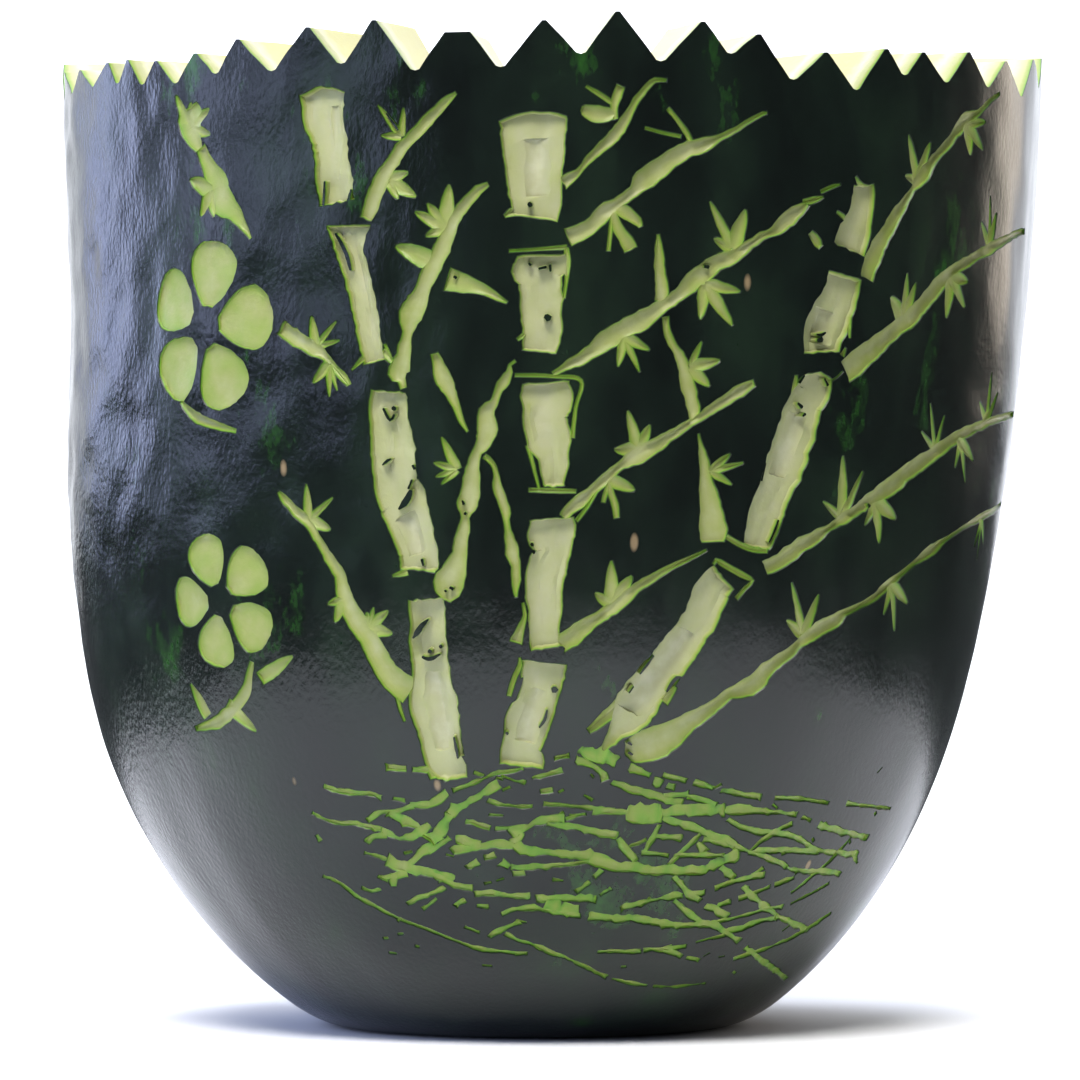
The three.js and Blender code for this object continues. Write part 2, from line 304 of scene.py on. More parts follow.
scoop = make_scoop()
print("hollow: radius", round(scoop_radius(RIM_HEIGHT), 1), "mm at the rim")

# %% [markdown]
# ## Cutting the teeth
#
# The cook walks a knife round the melon, pushing it through the wall towards the middle at one slant
# and then at the other. So each tooth is ruled straight from the skin to the hollow, and no two teeth
# are the same. The front teeth are listed one by one, and a loop carries on round the back.
#
# The cutter is the air above the rim: a ring whose lower side follows the teeth.

# %% The line of the teeth
# Each front tooth: the angle and height of its tip, and the height of the notch on its right.
FRONT_TEETH = [
    (-71, 230, 225), (-62, 230.5, 225), (-57, 230.5, 224), (-51, 229.5, 223.5), (-44, 230.5, 225),
    (-37.5, 233, 225), (-28, 235, 226), (-20, 236, 224), (-10.5, 233, 224.5), (-1, 235.5, 227.5),
    (7, 237.5, 226), (16.5, 235.5, 228), (23, 233, 222.5), (31.5, 229.5, 221), (40, 231, 225),
    (46, 231, 224), (54.5, 232, 224), (63.5, 231, 223), (74, 233, 226.5), (85, 235, 225),
]
BLUNT_TOOTH = 8
BLUNT_HALF = 1.4
BACK_TEETH = 22
NOTCH_HALF = 0.5
SLOPE_STEPS = 5


def all_teeth():
    first, last = FRONT_TEETH[0][0], FRONT_TEETH[-1][0]
    pitch = (360 + first - last) / (BACK_TEETH + 1)
    teeth = list(FRONT_TEETH)
    for i in range(1, BACK_TEETH + 1):
        angle = last + pitch * (i + 0.16 * math.sin(2.3 * i))
        teeth.append((angle, 232.5 + 2.2 * math.sin(1.9 * i), 224.5 + 1.2 * math.sin(3.1 * i + 1)))
    return teeth


def crown_line():
    """The lower edge of the air, once round: places on a tip, a notch and the slopes between."""
    corners = []
    teeth = all_teeth()
    for i, (angle, tip, notch) in enumerate(teeth):
        following = teeth[i + 1][0] if i + 1 < len(teeth) else teeth[0][0] + 360
        middle = (angle + following) / 2
        half = BLUNT_HALF if i == BLUNT_TOOTH else 0.22
        corners += [(angle - half, tip - 0.3), (angle + half, tip - 0.3)]
        corners += [(middle - NOTCH_HALF, notch + 0.4), (middle + NOTCH_HALF, notch + 0.4)]
    line = []
    for i, (angle, height) in enumerate(corners):
        next_angle, next_height = corners[(i + 1) % len(corners)]
        if i + 1 == len(corners):
            next_angle += 360
        short = abs(next_height - height) < 2
        steps = 2 if short else SLOPE_STEPS
        for k in range(steps):
            t = k / steps
            here = angle + (next_angle - angle) * t
            sag = -0.3 * math.sin(math.pi * t) if short and height < 229 else 0
            sag += 0.25 * math.sin(math.pi * t) * wave(here * 0.7, 3.3) if not short else 0
            line.append((here, height + (next_height - height) * t + sag))
    return line


print("teeth:", len(all_teeth()), "and points on the crown line:", len(crown_line()))

# %% [markdown]
# ## The knife that cuts the crown
#
# The line of the teeth is now known at every angle. The cutter is a row of radii spun into a ring and
# lifted into a solid. The points of its lower side are set on the line, at the same height all the way
# in, with a faint waver for the cook's hand.

# %% The crown cutter
CROWN_RADII = [132, 120.6, 119.4, 118.6, 117.4, 115.5, 112, 107, 101, 95, 88, 78]
CROWN_CLEARANCE = 12


def make_crown_cutter():
    line = crown_line()
    bm = bmesh.new()
    verts = [bm.verts.new((0, -radius, 0)) for radius in CROWN_RADII]
    edges = [bm.edges.new(pair) for pair in zip(verts, verts[1:])]
    bmesh.ops.spin(bm, geom=verts + edges, cent=(0, 0, 0), axis=(0, 0, 1), angle=math.tau,
                   steps=len(line), use_merge=True)
    bmesh.ops.remove_doubles(bm, verts=bm.verts, dist=1e-3)
    places = {}
    for vert in bm.verts:
        turn = math.degrees(math.atan2(vert.co.x, -vert.co.y)) % 360
        index = round(turn / 360 * len(line)) % len(line)
        places[vert] = (index, math.hypot(vert.co.x, vert.co.y))
    roof = bmesh.ops.extrude_face_region(bm, geom=bm.faces[:])["geom"]
    raised = [item for item in roof if isinstance(item, bmesh.types.BMVert)]
    for vert in raised:
        turn = math.degrees(math.atan2(vert.co.x, -vert.co.y)) % 360
        index = round(turn / 360 * len(line)) % len(line)
        radius = math.hypot(vert.co.x, vert.co.y)
        angle = math.radians(line[index][0])
        vert.co = Vector((radius * math.sin(angle), -radius * math.cos(angle),
                          RIM_HEIGHT + CROWN_CLEARANCE)) * MM
    for vert, (index, radius) in places.items():
        turn, height = line[index]
        knife = 0.18 * wave(turn * 0.35, radius / 5)
        angle = math.radians(turn)
        vert.co = Vector((radius * math.sin(angle), -radius * math.cos(angle), height + knife)) * MM
    return finish_object(bm, "crown_cutter")


crown = make_crown_cutter()
print("crown cutter:", len(crown.data.polygons), "faces")

# %% [markdown]
# ## A gouge stroke
#
# Everything in the picture is made with one kind of cut: a tool goes along a line and lifts a strip.
# The cutter for it starts as a flat grid, lies along the stroke as the floor of the cut, and is
# extruded upward until it stands clear of the skin. Its walls lean out a little, because no blade
# cuts quite upright, and its two edges wander on their own, because the flesh tears.
#
# A stroke is a run of (angle, height, width) points. Between them it is drawn smoothly.

# %% Running along a stroke
CLEARANCE = 1.4
WALL_LEAN = 0.32
LIP_DEPTH = 0.26
LIP_SPREAD = 0.22


def smooth_run(run, step):
    """Points about step mm apart on a smooth curve through the run."""
    points = [Vector(place) for place in run]
    if len(points) == 2:
        points.insert(1, (points[0] + points[1]) / 2)
    dense = []
    for i in range(len(points) - 1):
        before = points[max(0, i - 1)]
        a, b = points[i], points[i + 1]
        after = points[min(len(points) - 1, i + 2)]
        radius = turned_radius(a.y)
        length = math.hypot(math.radians(b.x - a.x) * radius, (b.y - a.y) * math.hypot(1, slope(a.y)))
        pieces = max(1, round(length / step))
        for k in range(pieces):
            t = k / pieces
            bend = a * 2 + (b - before) * t
            bend += (before * 2 - a * 5 + b * 4 - after) * t * t
            bend += (a * 3 - before - b * 3 + after) * t ** 3
            dense.append(bend / 2)
    return dense + [points[-1]]


def frames_along(points):
    """For each point: its place, width, sideways and forward steps as (degrees, height) for 1 mm."""
    frames = []
    for i, point in enumerate(points):
        before, after = points[max(0, i - 1)], points[min(len(points) - 1, i + 1)]
        radius = turned_radius(point.y)
        steep = math.hypot(1, slope(point.y))
        right = math.radians(after.x - before.x) * radius
        up = (after.y - before.y) * steep
        length = max(1e-6, math.hypot(right, up))
        right, up = right / length, up / length
        degree = math.degrees(1 / radius)
        sideways = Vector((up * degree, -right / steep))
        forward = Vector((right * degree, up / steep))
        frames.append((Vector((point.x, point.y)), point.z, sideways, forward))
    return frames


# %% [markdown]
# ## The cutter itself
#
# The grid has one row for each station along the stroke. It is extruded twice, so that it has a floor,
# a lip just under the skin and a roof above it, and it is closed, as the Boolean needs. The floor is
# lowest in the middle, and the two edges wander.

# %% The gouge cutter
cutters = bpy.data.collections.new("cutters")
bpy.context.scene.collection.children.link(cutters)
FLOOR, LIP, ROOF = range(3)


def stroke_levels(bm, across, rows):
    """A floor grid extruded twice: dictionaries of vertex to (side, row) for floor, lip and roof."""
    bmesh.ops.create_grid(bm, x_segments=across, y_segments=rows - 1, size=1.0)
    levels = [bm.verts[:]]
    top = bm.faces[:]
    for level in (LIP, ROOF):
        raised = bmesh.ops.extrude_face_region(bm, geom=top)["geom"]
        if level == ROOF:
            bmesh.ops.delete(bm, geom=top, context="FACES")
        top = [item for item in raised if isinstance(item, bmesh.types.BMFace)]
        levels.append([item for item in raised if isinstance(item, bmesh.types.BMVert)])
    return [{vert: (vert.co.x, round((vert.co.y + 1) / 2 * (rows - 1))) for vert in level if vert.is_valid}
            for level in levels]


def gouge(name, run, depth, across=4, step=1.1, ragged=0.3, flat=0.8, chatter=0.12, streaks=0.0,
          skips=0.0, bulge=0.0):
    """A cutter along a run. flat is how level the floor is: 1 is level, 0 is a round valley.

    streaks is the height of the ridges that the blade leaves along the stroke. With skips the cut is
    shallow and uneven, and now and then the tool leaves the rind altogether. bulge rounds the first end.
    """
    seed = rng.uniform(0, 500)
    frames = frames_along(smooth_run(run, step))
    rows = len(frames)

    def place(side, row, level):
        middle, width, sideways, forward = frames[row]
        along = row * step
        own = max(LIP_DEPTH + 0.12, min(depth, 0.3 + 0.42 * width))
        edge = max(LIP_DEPTH + 0.08, own * flat)
        skip = skips * (wave(along / 2.3, seed) + 0.5 * wave(along / 0.9, seed))
        if level == FLOOR:
            lift = -(edge + (own - edge) * (1 - side * side)) + skip
            lift += chatter * 1.4 * wave(along / 3.5, side * width / 4.4, seed)
            lift += chatter * 0.4 * wave(along / 1.2, side * width / 2.4, seed + 9)
            lift += streaks * wave(along / 16, side * width / 2.6, seed + 20)
            spread = -WALL_LEAN * edge
        elif level == LIP:
            lift = -LIP_DEPTH + skip
            spread = -WALL_LEAN * LIP_DEPTH
        else:
            lift = CLEARANCE + max(0.0, skip)
            spread = LIP_SPREAD * (1 + CLEARANCE / LIP_DEPTH)
        half = max(0.12, width / 2 + spread)
        tear = ragged * min(1, width / 3)
        hand = math.copysign(1, side)
        wander = wave(along / 3.1, 7 * hand, seed) + 0.7 * wave(along / 1.3, 9 * hand, seed)
        wander += 2.5 * max(0.0, wave(along / 1.9, 11 * hand, seed) - 0.3)
        at = middle + sideways * (side * (half + tear * wander))
        if row in (0, rows - 1):
            outward = -1 if row == 0 else 1
            nick = tear * wave(side * width / 2.6, seed, row)
            at = at + forward * outward * (spread + nick)
        at = at - forward * bulge * (1 - side * side) * max(0.0, 1 - row / 3)
        return skin_point(at.x, at.y, lift)

    bm = bmesh.new()
    for level, verts in enumerate(stroke_levels(bm, across, rows)):
        for vert, (side, row) in verts.items():
            vert.co = place(side, row, level)
    piece = finish_object(bm, name)
    bpy.context.scene.collection.objects.unlink(piece)
    cutters.objects.link(piece)
    return piece


def step_over(angle, height, direction, distance):
    """The place some mm away over the skin. The direction is in degrees clockwise from up."""
    right = distance * math.sin(math.radians(direction))
    up = distance * math.cos(math.radians(direction))
    steep = math.hypot(1, slope(height))
    return angle + math.degrees(right / turned_radius(height)), height + up / steep


# %% [markdown]
# ## The bamboo stems
#
# A bamboo stem is a row of internodes with a dark joint between them. The cook pares each internode
# out as one broad shallow trough, the deepest cuts on the melon, so their floors are the palest. They
# flare a little where they meet a joint. Each run goes from the top down.

# %% Internodes
CULM_DEPTH = 2.2
LEFT_STEM = [
    [(-26.5, 219.5, 11.6), (-26.3, 215, 10.8), (-25.6, 210, 9.3), (-25.1, 205, 8.7), (-24.8, 200, 9.1),
     (-24.4, 194.5, 9.3)],
    [(-22.9, 189.5, 10.8), (-22.8, 185, 7.5), (-22.1, 180, 6.7), (-21.3, 175, 6.3), (-20.6, 170, 6.3),
     (-20.1, 165, 6), (-19.5, 160, 5.2), (-19.3, 158.3, 5.6)],
    [(-17.6, 151.8, 7.5), (-17.6, 150, 9.3), (-17.3, 145, 9.9), (-16.9, 140, 10.5), (-16.6, 135, 10.9),
     (-16.2, 130, 10.8), (-15.3, 127, 11.7), (-15, 125, 11.3), (-14.1, 120, 10), (-13.3, 115, 9.4),
     (-13.3, 111, 8.6)],
    [(-12.4, 104.6, 8.2), (-12.2, 100, 8.5), (-12.2, 95, 8.9), (-11.9, 90, 9.1), (-11.9, 85, 10.2),
     (-11.7, 80, 11.7), (-11.2, 75, 10.3), (-10.8, 70, 9.8), (-10.5, 67, 9.2), (-9.6, 65, 7.4),
     (-9.3, 63.3, 5)],
]
MIDDLE_STEM = [
    [(-2.1, 213, 15.4), (-2, 210, 15.1), (-1.9, 205, 13.9), (-1.8, 200, 12.9), (-1.5, 195, 11.8),
     (-1.6, 192, 11), (-1.7, 190.6, 11.2)],
    [(-0.6, 182.4, 11.4), (-0.6, 180, 12.2), (-0.8, 178, 12.9), (-0.7, 176.5, 10), (-0.6, 175, 9.8),
     (-0.4, 170, 9.6), (-0.2, 165, 8.9), (-0.4, 160.4, 8)],
    [(0.6, 153.6, 10.5), (0.7, 150, 12.2), (0.5, 147, 10.7), (0.5, 145, 9.6), (0.9, 142.5, 10.4),
     (1.4, 140, 10.4), (1.8, 137, 7.6), (1.9, 135, 6.8), (2.1, 130, 4.2)],
    [(2, 122.9, 10), (2.1, 120, 11), (2.2, 117.5, 10), (2.4, 115, 8.1), (1.9, 112.5, 9), (1.6, 110, 9.3),
     (1.6, 105, 8.3), (1.7, 100, 7.6), (1.8, 95, 7), (1.9, 93.3, 7)],
    [(1.9, 90.2, 9.9), (1.7, 87, 9.5), (1.6, 85, 9.4), (1, 80, 9.4), (0.2, 77, 10.8), (-0.1, 75, 10.5),
     (-0.5, 72, 9.7), (-0.8, 70, 9.5), (-0.6, 67.5, 10), (-0.7, 66.3, 10)],
]
RIGHT_STEM = [
    [(37.4, 199.4, 6.4), (37.4, 196, 7), (36.8, 191, 8), (36.2, 187, 9.4), (35.8, 184.4, 10)],
    [(35.5, 178.6, 9.6), (35, 174, 10.2), (34.2, 170, 11.4), (33.1, 165, 11.4), (33.1, 160.8, 10.6)],
    [(32.5, 154.6, 9.4), (32.4, 152, 9.8), (31.6, 150, 9.5), (31, 147, 10.4), (30.8, 145, 10.5),
     (30.2, 140, 10.7), (29.5, 135, 10.6), (28.8, 130, 9.3), (27.8, 125, 8.9), (27.2, 120, 8.5),
     (26.8, 116.3, 7)],
    [(23, 109.5, 7.5), (22, 107, 8.8), (20.6, 100, 9), (19.1, 95, 8.8), (17.2, 90, 9.6), (15.2, 85, 10),
     (13.6, 80.5, 10.4), (12.6, 77, 8.6), (11.3, 74, 4.4), (10.2, 71.5, 2.2), (9.7, 69.8, 1)],
]
# How far the top of an internode bulges past its run, in mm.
ROUND_TOPS = {("left", 0): 1.6, ("middle", 0): 1.6, ("right", 2): 1.8}
# Second passes of the gouge inside a first one. They leave a step and a paler floor.
SECOND_PASSES = [
    [(19.7, 97.3, 7.2), (19.1, 95, 8), (17.3, 90, 9), (15.1, 85, 9.6), (13.6, 80.5, 9.8), (12.8, 78, 7.5)],
    [(-25.3, 217, 5), (-25, 210, 5.6), (-24.8, 203, 4.6), (-24.8, 196, 4)],
    [(-1.8, 209, 8), (-1.6, 202, 8.6), (-1.5, 195, 7)],
    [(-20.6, 171, 3.6), (-20.1, 165, 4), (-19.7, 161, 3.2)],
    [(-15.4, 124, 7), (-14.4, 120, 7.4), (-13.7, 114, 6)],
    [(-11.8, 88, 5.6), (-11.5, 82, 8), (-11, 75, 7.6), (-10.7, 69, 6.4)],
    [(33.9, 171, 8), (33.3, 166, 9), (33, 162.4, 8.6)],
    [(31.2, 147, 6.6), (30, 139, 7.6), (29, 132, 6.6)],
    [(1.4, 84, 6), (0.5, 78, 7), (-0.4, 71, 6.6)],
]
PASS_DEPTH = 3.2

for stem_name, stem in (("left", LEFT_STEM), ("middle", MIDDLE_STEM), ("right", RIGHT_STEM)):
    for number, run in enumerate(stem):
        gouge(f"{stem_name}_stem_{number}", run, CULM_DEPTH, across=8, step=1.0, ragged=0.45, flat=0.75,
              chatter=0.2, streaks=0.45, bulge=ROUND_TOPS.get((stem_name, number), 0.0))
for number, run in enumerate(SECOND_PASSES):
    gouge(f"second_pass_{number}", run, PASS_DEPTH, across=6, step=1.2, ragged=0.4, flat=0.55,
          chatter=0.2, streaks=0.4)

# %% [markdown]
# ## The branches
#
# Branches are single strokes of a small gouge that taper as the cook lets it rise out of the rind.
# They are shallower than the stems, so they are greener. A branch swells at its knots, where leaves
# will grow.

# %% Branches
BRANCH_DEPTH = 1.4
BRANCHES = [
    [(-20.8, 190.7, 3), (-20.1, 194.5, 3.6), (-19.2, 199, 3.6), (-18, 203, 3.2), (-16.9, 206.5, 3),
     (-15.2, 209.8, 2.8), (-13.8, 212.8, 2.8), (-12.3, 215.9, 2.4), (-10.6, 218.9, 0.8)],
    [(-15.7, 152.3, 1.6), (-16, 154.3, 2), (-16.4, 155.8, 5), (-15.9, 160, 3.7), (-15.5, 165, 2.8),
     (-15.2, 168.8, 6), (-14.3, 172, 4.9), (-13.8, 175, 4), (-12.7, 180, 4), (-11.7, 185, 4),
     (-10.6, 190, 3.2), (-10, 192, 2.8), (-9, 194.5, 2.6), (-7.9, 197, 2.2), (-6.8, 198.3, 1)],
    [(-31.2, 166.5, 3.6), (-29.5, 164.4, 3.8), (-28, 162.8, 3.6), (-26.5, 161.3, 3.4), (-25, 159, 1.8),
     (-24, 157, 1.4), (-22.8, 155, 1.4), (-22.2, 153.2, 1)],
    [(-12.2, 160.3, 2), (-11.7, 157.5, 3.2), (-11.2, 155, 4), (-10.5, 152.5, 3.5), (-9.9, 150, 2.4),
     (-9.3, 147.5, 1.8), (-8.8, 145, 1.3), (-8, 142.5, 0.6)],
    [(-9.9, 104.2, 2), (-9.7, 105.5, 5), (-9.7, 107.8, 7.4), (-9.2, 110, 6.4), (-8.9, 112, 5.4),
     (-8.5, 115, 3.9), (-8.1, 120, 3.1), (-7.9, 123, 2.3), (-7.7, 126, 4.9), (-7.4, 130, 4.3),
     (-7.2, 135, 3.2), (-6.8, 138, 2.4), (-6.1, 140, 3.7), (-5.8, 143, 4.7), (-6, 147, 3.9),
     (-5.2, 149, 2), (-4.7, 152, 2), (-4.1, 154, 3), (-3.6, 156, 1.5), (-3.6, 157.5, 0.8),
     (-3, 158.5, 0.8)],
    [(-6, 137, 1.2), (-5, 135.3, 1.2), (-4.6, 133.2, 1.2), (-4.4, 130, 2.2), (-3.9, 127.5, 2.2),
     (-3.4, 125, 2.4), (-3.2, 122.5, 1.5), (-2.9, 120, 1.7), (-2.5, 117, 3), (-2.3, 115, 3),
     (-1.9, 112, 2.3), (-1.8, 110, 2.3), (-1.8, 107, 1.5), (-1.7, 105, 0.6)],
    [(-31.2, 129, 0.8), (-30.6, 127.6, 2), (-29.2, 125.2, 2.2), (-27.8, 122.8, 2.6), (-26.8, 120.4, 2),
     (-25.7, 117, 2), (-24.7, 114, 2.4), (-23.3, 110, 3.2), (-22.6, 105, 4.2), (-21.4, 100, 4.8),
     (-19.6, 95, 4.9), (-18.2, 90, 5.6), (-16.8, 86.3, 6), (-14.6, 83.5, 7)],
    [(1.3, 198.5, 3.5), (2.6, 200.3, 2.2), (3.3, 201.8, 1.4), (4.6, 204.9, 2.3), (6, 207.5, 2.8),
     (7.1, 210, 2.7), (7.9, 212.5, 2.4), (8.7, 215.5, 1.8), (9.4, 218, 1.7), (10.4, 220.5, 1.4),
     (11.2, 221.8, 1.2), (12.5, 221.8, 0.8)],
    [(2.1, 186.2, 4.4), (4.4, 188.5, 3.6), (6.1, 192, 3.8), (7.8, 194.6, 2.6), (9.3, 196.7, 2.9),
     (10.3, 199.3, 4.9), (12, 202, 4.7), (13.7, 204.5, 4.1), (15.4, 206.5, 3.6), (17.1, 207.4, 3.4),
     (18.6, 209, 1.8), (20.4, 210.8, 1.3), (22.1, 213, 1.1), (23.7, 214.8, 0.9), (24.2, 215, 0.5)],
    [(1.2, 155.4, 1.2), (2.5, 157, 1.8), (4.2, 159, 3), (5.5, 160.8, 3.6), (7, 163, 4.7),
     (8.9, 165.5, 4.5), (11.1, 168, 4.5), (13, 170.7, 3.5), (15, 173.5, 3.1), (16.5, 176.5, 4.5),
     (17.8, 178.5, 4.8), (19.3, 180.8, 4), (21, 182.3, 3.5), (22.7, 184.6, 2.5), (24.4, 187, 1.9),
     (25.4, 187.9, 2), (26.2, 188.8, 2.8), (27.3, 190.6, 3.6), (28.4, 192.4, 3.4), (29.4, 193.9, 2.1),
     (29.9, 194.6, 1)],
    [(12.2, 187.1, 0.8), (12.4, 183.8, 1.9), (12.6, 180, 2.5), (12.9, 176, 3.1), (13, 172, 3)],
    [(13.6, 168.5, 1.6), (14, 164.5, 1.8), (15.4, 160, 2.2), (16, 157.5, 2.8), (16.9, 152.4, 3.6),
     (17.3, 150, 3.2), (17.7, 147, 2.8), (17.5, 145.3, 1.5)],
    [(3.3, 123, 2.2), (4.3, 125.5, 3), (5.5, 127.5, 3.2), (7, 130.3, 2.2), (8.3, 132.6, 2.6),
     (9.6, 135, 2.2), (11.5, 137.5, 5), (13.4, 139.4, 3.4), (15.4, 141.9, 2.4), (17.4, 144.5, 2),
     (19.3, 147, 2.2), (21.5, 150, 2.6), (23, 152, 3), (24.6, 153.8, 1.6)],
    [(18.4, 142.1, 0.5), (18.7, 140, 0.9), (19.2, 137, 2), (19.5, 134.5, 2.6), (19.8, 132, 3),
     (20, 130, 3.8), (20.7, 125, 5.4), (21.2, 120, 6.8), (21.3, 117.5, 5.5)],
    [(3.6, 94.2, 4), (5, 96, 4.8), (6.3, 98, 4), (8, 100.4, 3), (9.7, 102.5, 3.2), (11.9, 106.3, 2.8),
     (13, 107.8, 2.4), (14.8, 110, 1.8), (16.9, 112.3, 1.4), (19.5, 114.6, 1), (20.6, 115.7, 0.5)],
    [(38.6, 178, 4), (39.2, 182, 5.2), (40, 185, 4.6), (41.5, 189.5, 4), (42.7, 193, 3.4),
     (44, 196, 2.4), (45.2, 199, 1.5), (46, 200.5, 2.8), (47.5, 203, 3.4), (48.5, 205.5, 2.8),
     (50.5, 209, 2.4), (52.3, 212, 2.8), (54, 215, 4), (56, 217, 3), (57.3, 218, 1.6),
     (59.3, 220.5, 1.4), (62, 223, 0.8)],
    [(36.8, 156.5, 5.5), (38.2, 158.5, 6.4), (40, 161, 5.6), (42, 163.7, 5), (44, 166.4, 4.6),
     (47, 169.8, 4.6), (49, 173, 4.6), (51, 176.5, 4.6), (53.5, 180, 4), (56.2, 182.6, 3),
     (59, 184.7, 2.4), (61.7, 186.3, 3), (65.5, 188.8, 2.2), (70, 190.8, 1.8), (74, 191.7, 1.2)],
    [(28.2, 111.5, 3.4), (31, 114.3, 4), (32.8, 116.7, 3.8), (35.3, 119.2, 3.2), (36.8, 120.8, 1.8),
     (39, 123.2, 3), (40.6, 124.6, 2.6), (42.3, 126.6, 3.4), (44.7, 128.7, 4.6), (47.2, 131.3, 4.6),
     (50, 134.5, 4.2), (53.2, 137.3, 3.6), (55.7, 139.8, 3.4), (58.6, 142.3, 3), (61.6, 143.9, 2.6),
     (64.6, 145.2, 2.2), (68.5, 146.6, 1.9), (74, 147.6, 1.8), (78.5, 148.2, 1.2)],
    [(12.6, 70.4, 3.5), (13.4, 70.5, 6), (14.6, 70.6, 7.8), (16.3, 71.5, 8.3), (18.4, 73.2, 7.3),
     (20.3, 75.8, 5.3), (22.1, 77.8, 4.2), (23.9, 80.2, 3.3), (25.4, 82.5, 2.8), (26.4, 83.3, 3.5),
     (27.8, 84.1, 4.6), (29.2, 85.6, 5), (30.3, 88.1, 4.2), (32, 90.6, 3.2), (33.4, 92.2, 3),
     (34.9, 94.8, 2.6), (36.2, 96.2, 3.8), (37.6, 97.8, 3.8), (40, 99.6, 3.6), (41.3, 101.3, 2.2),
     (43.7, 102.8, 1.6), (46, 104.5, 1.9), (47.6, 106.6, 2.6), (49.2, 108.2, 2.6), (51, 110.4, 1.6),
     (53, 112.7, 1.5), (55, 114.7, 2.7), (57, 116.3, 2.8), (58.7, 118, 1.3), (61, 119.8, 1),
     (64, 121.6, 1.3), (67, 123, 2), (71, 124.5, 1.8), (80, 126.8, 1)],
]
# Splinters beside the strokes: prongs, flares at a joint, and lines that mark a joint.
SPLINTERS = [
    [(-20.6, 159.3, 1.6), (-21.3, 158, 1), (-22, 156.6, 0.5)],
    [(-18.4, 161, 2), (-17.7, 159.5, 1.8), (-17.2, 158.3, 1)],
    [(-18.1, 162.5, 0.8), (-17.6, 160.5, 0.8), (-17.2, 159, 0.6)],
    [(-14.6, 110.8, 1.8), (-15.7, 110.2, 1.3), (-16.5, 109.8, 0.6)],
    [(-12.2, 111.6, 1.6), (-11.2, 111, 1)],
    [(-16.3, 82, 0.9), (-16, 79.5, 0.9), (-15.5, 76.6, 0.6)],
    [(-3.4, 192.6, 2.2), (-4.2, 191.8, 2), (-4.9, 191, 0.8)],
    [(-2, 164.6, 1.5), (-2.9, 163.2, 0.8)],
    [(-4.3, 183.2, 0.8), (-1, 183.6, 0.8), (2.1, 184.1, 1.2)],
    [(2, 184, 1.2), (2.2, 181, 1.6), (2.2, 177, 1), (2, 172.5, 0.8)],
    [(-3, 155.2, 0.9), (1, 155, 0.9), (4.4, 154, 1), (4, 148, 0.9), (3.8, 141, 1.2)],
    [(-1.2, 139.5, 1), (-0.6, 136, 0.9), (0, 132, 0.8), (0.4, 129.5, 0.7)],
    [(-0.8, 129.3, 1), (2, 129.2, 1.2), (4.6, 129, 1)],
    [(-0.9, 103.8, 0.7), (-0.6, 101, 1), (-0.9, 98.8, 1.6), (-1.3, 96.5, 2.4), (-1.6, 94.7, 3)],
    [(-1.1, 91.3, 0.6), (-1, 89.5, 1.2), (-1.6, 87, 1.2), (-2, 84.5, 1.2), (-2.3, 82.5, 1)],
    [(36.1, 201.2, 0.6), (36.5, 200, 1.2), (37.2, 198.8, 1.8)],
    [(33.7, 193, 0.7), (34.6, 192, 1.1), (35.4, 190.6, 1.4)],
    [(36.7, 169, 0.8), (36.7, 166, 1.2), (36.9, 164.3, 0.6)],
    [(36.4, 162, 0.6), (36, 160.2, 1.6)],
    [(29.8, 155.6, 0.8), (29.8, 153.6, 1.4), (29.7, 151, 1.4)],
    [(11.5, 80.5, 3.5), (9.5, 77, 2.8), (7.7, 74.4, 1.6)],
    [(17, 81, 2.8), (17.8, 83, 2), (18.4, 84.5, 1)],
    [(19.7, 108, 1), (20.2, 106, 2.5), (20.8, 104, 3)],
    [(22.9, 118.8, 1.2), (24.6, 117, 1.2), (26.5, 115.7, 1.2), (28.3, 115.5, 1)],
    [(21.6, 112.4, 0.8), (21.9, 113.4, 1.2), (23.5, 111.8, 1.4), (25.2, 110.2, 1.4), (26.7, 108.7, 1),
     (25.9, 107, 1), (24.9, 104.6, 1.2)],
    [(6.9, 128.8, 0.8), (6, 125.5, 1), (4.8, 122.3, 1)],
    [(31.4, 197.4, 0.8), (32.2, 198.1, 1), (33.2, 198.9, 0.9), (34, 199.3, 0.5)],
    [(29.2, 195.2, 0.8), (30.1, 195.3, 1.6), (31, 195.8, 1.4), (31.8, 196.3, 0.5)],
    [(30.4, 188.1, 1.3), (30.9, 187, 1.9), (31.4, 185.8, 2), (31.8, 184.8, 1.2)],
    [(34.8, 154.6, 0.4), (35.6, 155.4, 0.4), (36.3, 156.6, 0.4)],
]

for number, run in enumerate(BRANCHES):
    gouge(f"branch_{number}", run, BRANCH_DEPTH, across=4, ragged=0.35, flat=0.6, chatter=0.14)
for number, run in enumerate(SPLINTERS):
    gouge(f"splinter_{number}", run, BRANCH_DEPTH, across=2, step=1.2, ragged=0.2, flat=0.6)

# %% [markdown]
# ## The leaves
#
# Each leaf is one push of the knife tip from the branch outward: it starts broad and runs out in a
# point. Leaves grow in tufts of two to four. A tuft is given by the place on the branch that it grows
# from, and by the tip and width of each leaf.

